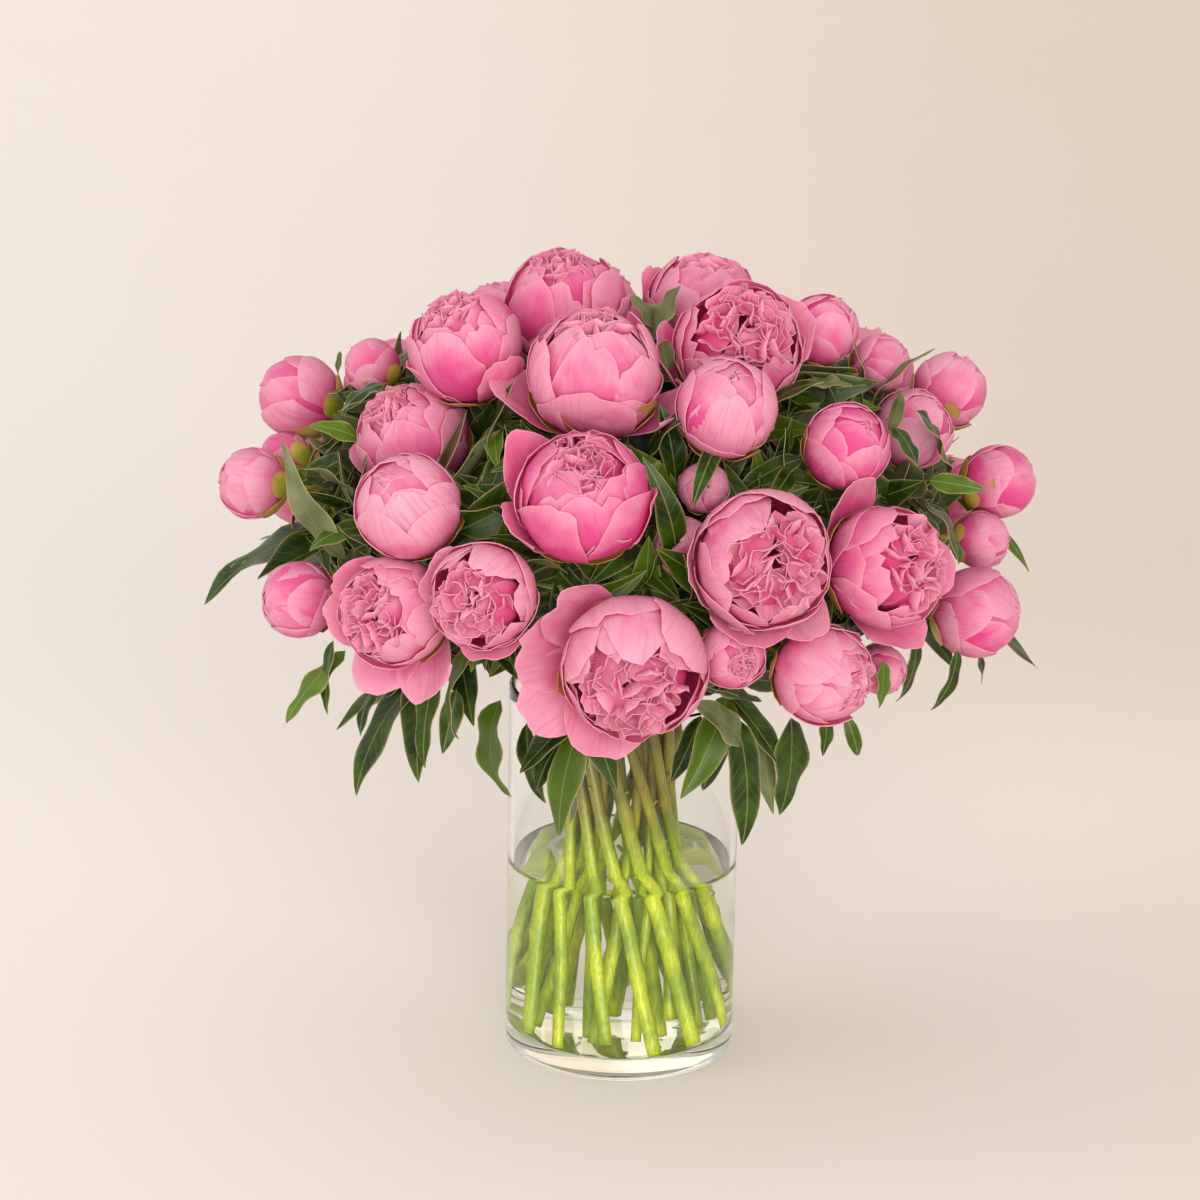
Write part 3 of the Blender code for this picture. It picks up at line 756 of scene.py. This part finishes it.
def add_ring(sheets, ball, count, first, last, width, dice, turn=0.0, opens=(0, 0), **looks):
    """A ring of broad petals on the ball that end at about last degrees above the neck, less on
    the side where the bloom opens."""
    for i in range(count):
        side = turn + math.tau * i / count + dice.uniform(-0.2, 0.2)
        end = dice.uniform(*last) - opens[1] * math.cos(side - math.radians(opens[0]))
        reach = min(end, 186) - first
        petal(sheets, ball * dice.uniform(0.99, 1.01), side, first, math.radians(reach), reach,
              width * dice.uniform(0.88, 1.12), dice, lean=dice.uniform(-0.16, 0.22), **looks)


def grow_bloom(radius, growth, dice):
    form, side, shift, _, guards = growth
    sheets = Sheets()
    spin = dice.uniform(0, math.tau)
    opens = (side, shift)
    # The depth numbers in these rings are painted shade: inner rings get a higher depth and are coloured
    # darker.
    if form == "bud":
        add_ring(sheets, radius * 0.86, 3, 50, (176, 186), 0.85, dice, spin + 0.4, depth=0.4)
        add_heart(sheets, radius, 14, (dice.uniform(0, 8), side), dice, 7, 0.92)
        add_ring(sheets, radius * 0.90, 3, 50, (158, 182), 0.80, dice, spin, depth=0.10, tear=0.03)
        add_ring(sheets, radius * 0.925, 4, 20, (140, 176), 0.76, dice, spin + 0.6, depth=0.05, frill=0.018)
        add_ring(sheets, radius * 0.955, 4, 6, (108, 158), 0.78, dice, spin + 1.3, lap=0.028, tear=0.014)
        add_ring(sheets, radius * 0.98, 3, 5, (78, 128), 0.86, dice, spin + 2.1, lap=0.024, tear=0.014)
    elif form == "cup":
        add_ring(sheets, radius * 0.72, 4, 40, (168, 184), 0.80, dice, spin + 0.3, depth=0.35)
        add_heart(sheets, radius, 38, (shift, side), dice, 30, 0.90)
        add_ring(sheets, radius * 0.82, 4, 40, (146, 172), 0.70, dice, spin, opens, tear=0.035,
                 depth=0.15)
        add_ring(sheets, radius * 0.87, 5, 20, (132, 164), 0.64, dice, spin + 0.5, opens, tear=0.04,
                 depth=0.10)
        add_ring(sheets, radius * 0.92, 5, 8, (112, 152), 0.66, dice, spin + 1.1, opens, tear=0.035,
                 depth=0.06)
        add_ring(sheets, radius * 0.965, 5, 6, (82, 136), 0.70, dice, spin + 1.7, opens, tear=0.03,
                 lap=0.028, end_turn=-3)
    else:
        add_ring(sheets, radius * 0.70, 4, 40, (165, 182), 0.80, dice, spin, tear=0.02, depth=0.45)
        add_heart(sheets, radius, 58, (shift, side), dice, 46, 0.955)
        add_ring(sheets, radius * 0.89, 6, 40, (122, 148), 0.56, dice, spin, opens, tear=0.05,
                 frill=0.024, depth=0.08)
        add_ring(sheets, radius * 0.935, 5, 8, (102, 146), 0.66, dice, spin + 0.5, opens, tear=0.04,
                 frill=0.020, depth=0.05)
        add_ring(sheets, radius * 0.975, 5, 6, (78, 138), 0.74, dice, spin + 1.1, opens, tear=0.03,
                 lap=0.028, end_turn=-2)
    for side, spread, length, width in guards:
        petal(sheets, radius, math.radians(side), 6, length, 84 - spread, width, dice, lap=0.0, tear=0.025,
              frill=0.030, curl=1.9, depth=-0.05, rows=22, columns=16, end_turn=dice.uniform(-14, 8))
    return sheets


def bloom_spot(centre, axis):
    """Matrix that stands a bloom grown along +Z on its axis, its +X side to the right of
    someone who looks at it from outside."""
    right = Vector((0, 0, 1)).cross(axis).normalized()
    over = axis.cross(right)
    turn = Matrix((right, over, axis)).transposed().to_4x4()
    return Matrix.Translation(centre) @ turn


def carried(start, name):
    """A vector that the mesh carries at each of its points."""
    return start.node("ShaderNodeAttribute", {"attribute_name": name}, output=1)


petal_look, petal_shader, petal_start = new_finish("peony petal", Specular_IOR_Level=0.15)
grown_at = carried(petal_start, "grown")
placed_at = carried(petal_start, "place")
side_tone = carried(petal_start, "side_tone")
reach, edge, depth_shade = (placed_at.part(k) for k in (0, 1, 2))
tone = side_tone.part(1)
vein_place = grown_at.node("ShaderNodeMapping", {}, {0: grown_at, 3: (1.0, 0.07, 1.0)})
veins = noise(petal_start, vein_place, 480.0, 4.0)
clouds = noise(petal_start, grown_at, 60.0, 3.0)
# painted shade: the petal is coloured darker toward its base and where its depth is high, partly its own
# darker pink and partly shade inside the bloom; clouds, veins and tone are its own colour.
fresh = reach * 0.95 + clouds * 0.85 - depth_shade * 0.8 + veins * 0.50 - tone * 0.30 - 0.36
body = tone.tint(pink_body, pink_magenta)
pink = fresh.between(-0.20, 0.30).tint(pink_deep_recess_shade, pink_hot_fold_shade)
pink = fresh.between(0.15, 0.70).tint(pink, body)
pink = (fresh.between(0.50, 1.10) * (1.0 - tone * 0.30)).tint(pink, pink_pale)
pink = (veins.between(0.46, 0.68) * (1 - reach * 0.4) * 0.60).tint(pink, (0.82, 0.10, 0.30))
feed(petal_shader, "Base Color", (edge * 0.6).tint(pink, (0.96, 0.64, 0.75)))
feed(petal_shader, "Roughness", veins * 0.2 + 0.42)
bump(petal_start, petal_shader, veins * 1.8 + clouds * 1.8, 0.60, 0.0008)
blend_into(petal_start, 0.46, petal_start.node("ShaderNodeBsdfTranslucent", {}, {0: (0.98, 0.40, 0.59)}))

for number, (name, (centre, radius, axis, growth)) in enumerate(blooms.items()):
    dice = random.Random(100 + number)
    petals = grow_bloom(radius, growth, dice).piece("petals_of_" + name, petal_look, "petal_pink",
                                                    bloom_spot(centre, axis), growth[3])
    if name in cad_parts:
        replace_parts(petals, name)


# ---- calyxes --------------------------------------------------------------------------------
# Under each bloom a green cup of five rounded sepals, flushed brown and pink at the edge,
# clasps the petals; two narrower ones stand out from it.

sepal_look, sepal_shader, sepal_start = new_finish("sepal", Roughness=0.5, Coat_Weight=0.1)
grown_at = carried(sepal_start, "grown")
placed_at = carried(sepal_start, "place")
edge, reach = (placed_at.part(k) for k in (1, 0))
sepal_green = noise(sepal_start, grown_at, 70.0, 2.0).between(0.35, 0.65).tint(
    (0.30, 0.33, 0.02), (0.60, 0.42, 0.06))
sepal_green = (reach.between(0.6, 1.0) * 0.5).tint(sepal_green, (0.55, 0.30, 0.10))
feed(sepal_shader, "Base Color", (edge * 0.8).tint(sepal_green, (0.50, 0.13, 0.09)))
bump(sepal_start, sepal_shader, noise(sepal_start, grown_at, 500.0, 2.0), 0.2, 0.0005)


def grow_calyx(radius, dice):
    sheets = Sheets()
    spin = dice.uniform(0, math.tau)
    for i in range(5):
        ball = radius * (1.025 + 0.02 * (i % 2)) + 0.0006
        reach = dice.uniform(40, 74)
        side = spin + math.tau * i / 5 + dice.uniform(-0.2, 0.2)
        petal(sheets, ball, side, 3, math.radians(reach), reach, dice.uniform(0.28, 0.40), dice,
              tear=0.015, frill=0.008, rows=10, columns=10, end_turn=4)
    for side in (dice.uniform(280, 350), dice.uniform(120, 240)):
        petal(sheets, radius, math.radians(side), 3, dice.uniform(1.2, 1.5), 66, 0.34, dice, tear=0.01,
              frill=0.012, curl=1.3, rows=10, columns=10)
    return sheets


for number, (name, (centre, radius, axis, growth)) in enumerate(blooms.items()):
    dice = random.Random(300 + number)
    calyx = grow_calyx(radius, dice)
    calyx.piece("calyx_of_" + name, sepal_look, "leaf_green", bloom_spot(centre, axis))


# ---- leaves ---------------------------------------------------------------------------------
# Compound peony leaves on the upper stems: narrow pointed leaflets on a thin stalk, dark glossy
# green above with a thin yellowish margin and grey-green below, folded along the rib and wavy.

leaf_thickness = 0.00035
stalk_width = 0.0024
leaf_fold = 0.25
leaf_tries = 2600               # places tried for a leaf, most of which have no room for one
leaf_dome = (0.245, 0.245, 0.155)
leaf_dome_middle = (0, 0, 0.375)
lowest_tip = 0.265
lowest_leaf = 0.235
marks_on_arch = 18

leaf_look, leaf_shader, leaf_start = new_finish("peony leaf", Coat_Weight=0.08, Coat_Roughness=0.25,
                                                 Specular_IOR_Level=0.3)
grown_at = carried(leaf_start, "grown")
placed_at = carried(leaf_start, "place")
side_tone = carried(leaf_start, "side_tone")
edge = placed_at.part(1)
under = side_tone.part(0)
across, along, own = (grown_at.part(k) for k in (0, 1, 2))
from_rib = across.maths("ABSOLUTE", across)
rib = from_rib.between(0.0006, 0.0002)
slant = along - from_rib * 1.3 + noise(leaf_start, grown_at, 160.0, 2.0) * 0.004
vein = slant.maths("SINE", slant * 720.0).between(0.86, 1.0)
clouds = noise(leaf_start, grown_at, 45.0, 2.0)
upper = clouds.between(0.35, 0.70).tint((0.010, 0.027, 0.001), (0.038, 0.080, 0.002))
upper = (own.between(4.0, 6.0) * 0.85).tint(upper, (0.105, 0.190, 0.006))
upper = (vein * 0.22).tint(upper, (0.14, 0.20, 0.03))
lower = clouds.between(0.35, 0.70).tint((0.12, 0.14, 0.05), (0.22, 0.24, 0.11))
green = under.between(0.4, 0.6).tint(upper, lower)
green = (rib * 0.6).tint(green, (0.26, 0.30, 0.07))
feed(leaf_shader, "Base Color", (edge * 0.8).tint(green, (0.50, 0.44, 0.17)))
feed(leaf_shader, "Roughness", under * 0.25 + clouds * 0.2 + 0.28)
bump(leaf_start, leaf_shader, clouds - vein * 0.5 - rib, 0.35, 0.0006)
blend_into(leaf_start, 0.12, leaf_start.node("ShaderNodeBsdfTranslucent", {}, {0: (0.16, 0.32, 0.03)}))


def leaflet(root, angle, length, width, dice, rows=14, columns=8):
    """One blade drawn flat: points as (ahead, aside, up), and its colouring."""
    u, v = grid(rows, columns)
    half = width / 2 * np.sin(math.pi * u ** 0.75).clip(0.0) ** 0.85
    along = u * length
    across = v * half
    bow = dice.uniform(-0.10, 0.10) * length * u ** 2
    wave = np.sin(u * dice.uniform(9, 15) + np.sign(v) * dice.uniform(0, 3) + dice.uniform(0, 6)) * v ** 2
    cupped = dice.uniform(0.10, 0.55) * np.abs(v) + 0.20 * wave
    drooped = dice.uniform(-0.05, 0.22) * length * u ** 2
    up = half * cupped - drooped
    c, s = math.cos(angle), math.sin(angle)
    one = np.ones_like(u * v)
    ahead, aside = along * one, (across + bow) * one
    points = np.stack((root[0] + ahead * c - aside * s, root[1] + ahead * s + aside * c, up * one), axis=-1)
    grown = np.stack((across * one, along * one, one * dice.uniform(0, 6)), axis=-1)
    edge = np.abs(v) ** 24 * smooth(u * 8) * one
    return points, grown, np.stack((u * one, edge, one * 0.0), axis=-1)


def compound_leaf(length, leaflets, dice):
    """All blades and the stalk of one leaf, drawn flat along +X."""
    stalk = 0.48 if leaflets > 1 else 0.12
    u, v = grid(8, 2)
    one = np.ones_like(u * v)
    points = np.stack((u * (stalk + 0.02) * length * one, v * stalk_width / 2 * one,
                       -np.abs(v) * 0.0006 * one), axis=-1)
    parts = [(points, points * 1.0, one[..., None] * (0.5, 0.0, 0.7))]
    end = length * (1 - stalk)
    parts.append(leaflet((stalk * length, 0.0), 0.0, end, end * dice.uniform(0.27, 0.34), dice))
    pairs = {1: [], 3: [(0.39, 0.60)], 5: [(0.39, 0.55), (0.27, 1.02)]}[leaflets]
    for share, angle in pairs:
        for turn in (angle, -angle):
            size = length * (0.46 if share > 0.3 else 0.40) * dice.uniform(0.88, 1.1)
            parts.append(leaflet((share * length, 0.0), turn, size, size * dice.uniform(0.27, 0.33), dice))
    return parts


def bent_leaf(parts, foot, ahead, up, length, rise, fall):
    """Bend a flat leaf from rise to fall degrees along its length and set it on its foot."""
    side = np.cross(up, ahead)
    rise, fall = math.radians(rise), math.radians(fall)
    rate = (fall - rise) / length
    made = []
    for points, grown, place in parts:
        u, v, w = points[..., 0], points[..., 1], points[..., 2]
        turn = rise + rate * u
        w = w - np.abs(v) * leaf_fold
        reach = (np.sin(turn) - math.sin(rise)) / rate - w * np.sin(turn)
        climb = (math.cos(rise) - np.cos(turn)) / rate + w * np.cos(turn)
        spots = foot + reach[..., None] * ahead + climb[..., None] * up + v[..., None] * side
        made.append((spots, grown, place))
    return made


def under_stem(controls, share):
    """The place just below a stem where a leaf stalk starts."""
    place = bezier(*controls, share)
    ahead = (bezier(*controls, share + 0.02) - place).normalized()
    down = Vector((0, 0, -1))
    down = (down - ahead * down.dot(ahead)).normalized()
    return place + down * (stem_radius + 0.0009)


# stem, share of its arch, azimuth it grows toward, length mm, rise and fall deg, leaflets
large_leaves = {
    "leaf_far_left": ("stem_far_left", 0.45, -78, 208, 22, -28, 5),
    "leaf_low_left": ("stem_left_low", 0.50, -56, 165, -8, -62, 5),
    "leaf_hanging_left": ("stem_front", 0.50, -30, 150, -14, -84, 3),
    "leaf_hanging_right": ("stem_front_right", 0.40, 30, 165, -26, -84, 3),
    "leaf_far_right": ("stem_far_right", 0.33, 82, 215, 14, -32, 3),
    "leaf_rear": ("stem_rear_low", 0.45, 188, 165, -8, -72, 5),
}
for number, (name, growing) in enumerate(large_leaves.items()):
    stem, share, azimuth, length, rise, fall, leaflets = growing
    dice = random.Random(500 + number)
    length = length / 1000
    parts = bent_leaf(compound_leaf(length, leaflets, dice), np.array(under_stem(arches[stem], share)),
                      np.array(direction(azimuth)), np.array((0.0, 0.0, 1.0)), length, rise, fall)
    sheets = Sheets()
    for part in parts:
        sheets.add(*part, leaf_thickness)
    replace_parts(sheets.piece("large_" + name, leaf_look, "leaf_green"), name)

bloom_centres = np.array([tuple(b[0]) for b in blooms.values()])
bloom_radii = np.array([b[1] for b in blooms.values()])
box_low, box_high = np.array(cad_box[0]), np.array(cad_box[1])

# turned-back outer petals need room too, as small balls along each of them
guard_spots = []
for centre, radius, axis, growth in blooms.values():
    for side, spread, length, _ in growth[4]:
        for share in (0.45, 0.7, 0.95):
            for veer in (-0.35, 0.0, 0.35):
                turn = math.radians(90 - spread) * share
                way = math.radians(side) + veer
                reach = radius * length * share * math.cos(turn * 0.5)
                local = Vector((reach * math.cos(way), reach * math.sin(way),
                                radius * (length * share * math.sin(turn * 0.5) - 1.0)))
                guard_spots.append(tuple(bloom_spot(centre, axis) @ local))
bloom_centres = np.concatenate((bloom_centres, guard_spots))
bloom_radii = np.concatenate((bloom_radii, np.full(len(guard_spots), 0.006)))


def room_lost(parts):
    """How far, at most, a leaf runs into a bloom, the vase or the edge of the bouquet."""
    points = np.concatenate([part[0][::2, ::2].reshape(-1, 3) for part in parts[1:]])
    apart = np.linalg.norm(points[:, None] - bloom_centres[None], axis=2)
    into_bloom = (bloom_radii * 1.02 + 0.001 - apart).max()
    near_vase = np.where(points[:, 2] < 0.27, 0.085 - np.linalg.norm(points[:, :2], axis=1), -1.0).max()
    outside = np.maximum(box_low - points, points - box_high)[:, :2].max()
    return max(into_bloom, near_vase, outside, (lowest_leaf - points[:, 2]).max())


def unit(v):
    return v / np.linalg.norm(v)


def leaf_between(foot, tip, up, leaflets, dice):
    """A leaf from a foot to about a tip, its upper side toward up, drooping a little."""
    length = np.linalg.norm(tip - foot) * 1.04
    ahead = unit(tip - foot)
    up = unit(up - ahead * up.dot(ahead))
    droop = dice.uniform(8, 26)
    flat = compound_leaf(length, leaflets, random.Random(dice.random()))
    return bent_leaf(flat, foot, ahead, up, length, droop, -droop)


arch_points = np.array([bezier(*controls, share) for controls in arches.values()
                        for share in np.linspace(0.15, 0.97, marks_on_arch)])
arch_names = [stem for stem in arches for _ in range(marks_on_arch)]
leaves_of = {stem: Sheets() for stem in arches}

# single blades that show between the blooms: foot and tip as azimuth deg, distance and height mm,
# then width mm and the side turned outward
placed_leaves = [
    (-39, 136, 410, -31, 145, 486, 21, "upper"),
    (-21, 161, 407, -31, 217, 423, 18, "upper"),
    (4, 130, 439, 11, 168, 488, 17, "upper"),
    (9, 172, 378, 6, 196, 464, 17, "upper"),
    (19, 158, 455, 10, 208, 446, 11, "upper"),
    (-11, 173, 368, -17, 204, 399, 14, "upper"),
    (11, 189, 365, 9, 218, 407, 9, "upper"),
    (-60, 202, 363, -66, 232, 434, 24, "under"),
    (-64, 192, 399, -65, 225, 424, 18, "upper"),
    (-58, 188, 383, -59, 234, 384, 15, "upper"),
    (-49, 229, 321, -52, 267, 282, 19, "upper"),
    (-50, 235, 328, -48, 249, 286, 12, "upper"),
    (-44, 221, 299, -43, 240, 275, 12, "upper"),
    (-37, 189, 315, -40, 202, 249, 15, "upper"),
    (-37, 174, 293, -37, 189, 256, 13, "upper"),
    (-31, 151, 283, -32, 166, 217, 26, "upper"),
    (-28, 193, 336, -37, 206, 268, 15, "upper"),
    (-27, 135, 265, -24, 126, 209, 14, "upper"),
    (-14, 134, 266, -23, 152, 230, 18, "upper"),
    (-19, 65, 233, -25, 61, 174, 17, "under"),
    (23, 120, 268, 14, 124, 227, 15, "upper"),
    (29, 125, 271, 24, 126, 213, 15, "upper"),
    (27, 157, 262, 14, 170, 296, 20, "under"),
    (40, 131, 267, 40, 130, 204, 16, "under"),
    (46, 144, 264, 48, 143, 193, 24, "upper"),
    (49, 166, 272, 47, 168, 244, 10, "upper"),
    (49, 182, 273, 51, 189, 240, 9, "upper"),
    (46, 218, 321, 44, 223, 293, 11, "upper"),
    (56, 215, 329, 54, 215, 278, 11, "upper"),
    (64, 229, 311, 62, 227, 269, 11, "upper"),
    (70, 231, 311, 69, 241, 284, 9, "upper"),
    (75, 206, 412, 68, 198, 464, 26, "upper"),
    (61, 185, 452, 58, 209, 436, 14, "upper"),
    (63, 179, 447, 62, 190, 476, 9, "upper"),
    (59, 211, 410, 58, 247, 380, 17, "upper"),
    (56, 214, 410, 52, 244, 391, 9, "upper"),
    (61, 122, 470, 63, 152, 470, 14, "under"),
    (76, 149, 448, 74, 146, 495, 14, "upper"),
    (79, 153, 448, 81, 191, 481, 15, "under"),
    (80, 115, 469, 77, 138, 483, 20, "under"),
    (90, 175, 468, 90, 165, 484, 9, "under"),
    (91, 208, 378, 88, 265, 340, 11, "upper"),
    (-102, 99, 496, -100, 120, 504, 13, "upper"),
    (16, 31, 489, 41, 46, 522, 23, "under"),
    (25, 33, 495, -4, 30, 516, 15, "under"),
    (14, 93, 485, 9, 101, 512, 12, "upper"),
    (90, 100, 489, 90, 131, 512, 16, "upper"),
    (41, 159, 440, 23, 163, 429, 15, "upper"),
    (37, 163, 436, 26, 189, 429, 12, "upper"),
    (40, 183, 394, 29, 189, 433, 15, "upper"),
    (-21, 204, 334, -21, 230, 352, 14, "upper"),
    (-81, 185, 477, -81, 187, 462, 5, "upper"),
    (-69, 165, 465, -66, 197, 457, 13, "upper"),
    (-67, 182, 432, -68, 213, 447, 12, "upper"),
    (38, 127, 458, 43, 163, 495, 14, "upper"),
    (-2, 170, 370, -10, 198, 407, 16, "upper"),
    (2, 160, 386, 8, 202, 375, 14, "upper"),
    (-23, 109, 424, -28, 147, 458, 16, "upper"),
    (64, 206, 418, 65, 241, 416, 12, "upper"),
    (-44, 167, 371, -33, 179, 419, 14, "upper"),
]
dice = random.Random(11)
for *ends, width, shown in placed_leaves:
    foot, tip = (np.array(direction(a) * d / 1000) + (0, 0, z / 1000)
                 for a, d, z in (ends[:3], ends[3:]))
    length = np.linalg.norm(tip - foot)
    ahead = unit(tip - foot)
    outward = unit((foot + tip) * (0.5, 0.5, 0.25))
    face = outward + 0.30 * np.array([dice.gauss(0, 1) for _ in range(3)])
    face = face if shown == "upper" else -face
    up = unit(face - ahead * face.dot(ahead))
    droop = dice.uniform(6, 24) * (1 if shown == "upper" else -1)
    blade = leaflet((0.0, 0.0), 0.0, length * 1.03, width / 1000 * 1.1, dice, rows=18, columns=10)
    inward = 0.3 * (foot - (0, 0, 0.3))
    nearest = np.linalg.norm(arch_points - foot + inward, axis=1).argmin()
    for part in bent_leaf([blade], foot, ahead, up, length * 1.03, droop, -droop * 1.5):
        leaves_of[arch_names[nearest]].add(*part, leaf_thickness)

# the rest grow out through the gaps, each from the stem in reach that gives it the most room
for _ in range(leaf_tries):
    azimuth, elevation = dice.uniform(-180, 180), math.degrees(math.asin(dice.uniform(-0.55, 0.98)))
    out = np.array(direction(azimuth, elevation))
    shell = dice.uniform(0.68, 0.90)
    tip = np.array(leaf_dome_middle) + out * leaf_dome * shell
    into_bloom = (bloom_radii + 0.004 - np.linalg.norm(bloom_centres - tip, axis=1)).max()
    if tip[2] < lowest_tip or into_bloom > 0:
        continue
    best, least = None, 0.0035
    for _ in range(14):
        number = dice.randrange(len(arch_points))
        foot = arch_points[number]
        far = np.linalg.norm(tip - foot)
        if not 0.045 < far < 0.13:
            continue
        face = out + 0.4 * np.array([dice.gauss(0, 1) for _ in range(3)])
        leaflets = 1 if far < 0.075 else dice.choice((1, 3, 3))
        parts = leaf_between(foot, tip, face, leaflets, dice)
        lost = room_lost(parts)
        if lost < least:
            best, least, stem = parts, lost, arch_names[number]
    if best:
        for part in best:
            leaves_of[stem].add(*part, leaf_thickness)
for stem, sheets in leaves_of.items():
    if sheets.count:
        sheets.piece("leaves_on_" + stem, leaf_look, "leaf_green")


# ---- floor, light and camera ----------------------------------------------------------------

paper = bpy.data.meshes.new("floor")
bend_radius, floor_half, floor_back = 1.5, 6.0, 4.5
profile = [(-4.5, 0.0), (floor_back, 0.0)]
profile += [(floor_back + bend_radius * math.sin(a), bend_radius * (1 - math.cos(a)))
            for a in np.linspace(0.1, math.pi / 2, 14)]
profile += [(floor_back + bend_radius, 4.0)]
paper.from_pydata([(x, y, z) for y, z in profile for x in (-floor_half, floor_half)], [],
                  [(2 * i, 2 * i + 1, 2 * i + 3, 2 * i + 2) for i in range(len(profile) - 1)])
paper.shade_smooth()
floor = bpy.data.objects.new("floor", paper)
bpy.context.scene.collection.objects.link(floor)
floor_look, floor_shader, floor_start = new_finish("pale floor", Roughness=0.9, Specular_IOR_Level=0.1)
floor_place = place_of(floor_start)
rightward_painted_shade = floor_place.part(0)
mottle = noise(floor_start, floor_place, 3.0, 3.0) * 0.08
# painted shade: the floor is coloured darker toward the right, standing in for the lamp at the left
# lighting it less there; a faint mottle varies it.
floor_colour_with_painted_shade = (rightward_painted_shade.between(-0.75, 0.75) + mottle).tint((0.805, 0.750, 0.705), (0.695, 0.595, 0.510))
# painted light: the floor is coloured paler toward the vase, to take away the shade that the bouquet casts
# round its foot.
from_vase = floor_place.node("ShaderNodeVectorMath", {"operation": "LENGTH"}, {0: floor_place}, 1)
near_vase = from_vase.between(1.1, 0.2)
feed(floor_shader, "Base Color", (near_vase * 0.55).tint(floor_colour_with_painted_shade, (0.93, 0.86, 0.79)))
paper.materials.append(floor_look)


def add_lamp(name, place, toward, size, power, colour):
    lamp = bpy.data.lights.new(name, "AREA")
    lamp.shape, lamp.size, lamp.energy, lamp.color = "DISK", size, power, colour
    holder = bpy.data.objects.new(name, lamp)
    holder.location = place
    holder.rotation_euler = (Vector(toward) - Vector(place)).to_track_quat("-Z", "Y").to_euler()
    bpy.context.scene.collection.objects.link(holder)


add_lamp("window", (-3.4, -0.6, 3.0), (0, 0, 0.2), 2.4, 34, (0.97, 0.99, 1.0))

fill_lamp = bpy.data.lights.new("front_fill", "SUN")
fill_lamp.energy, fill_lamp.angle, fill_lamp.color = 3.1, math.radians(56), (1.0, 0.985, 0.98)
fill_holder = bpy.data.objects.new("front_fill", fill_lamp)
fill_holder.rotation_euler = Vector((-0.10, 0.96, -0.20)).to_track_quat("-Z", "Y").to_euler()
bpy.context.scene.collection.objects.link(fill_holder)

world = bpy.data.worlds.new("room")
world.use_nodes = True
world.node_tree.nodes["Background"].inputs[0].default_value = (1.0, 0.98, 0.96, 1.0)
world.node_tree.nodes["Background"].inputs[1].default_value = 0.75
bpy.context.scene.world = world
bpy.context.scene.view_settings.view_transform = "Standard"

camera_data = bpy.data.cameras.new("camera")
camera_data.lens = 150
camera_data.sensor_width = 36
camera = bpy.data.objects.new("camera", camera_data)
look_down, lean = math.radians(18.8), math.radians(1.0)
camera.location = (-0.0173, -3.0428, 1.3414)
camera.rotation_euler = (Matrix.Rotation(math.pi / 2 - look_down, 3, "X") @
                         Matrix.Rotation(lean, 3, "Z")).to_euler()
bpy.context.scene.collection.objects.link(camera)
bpy.context.scene.camera = camera
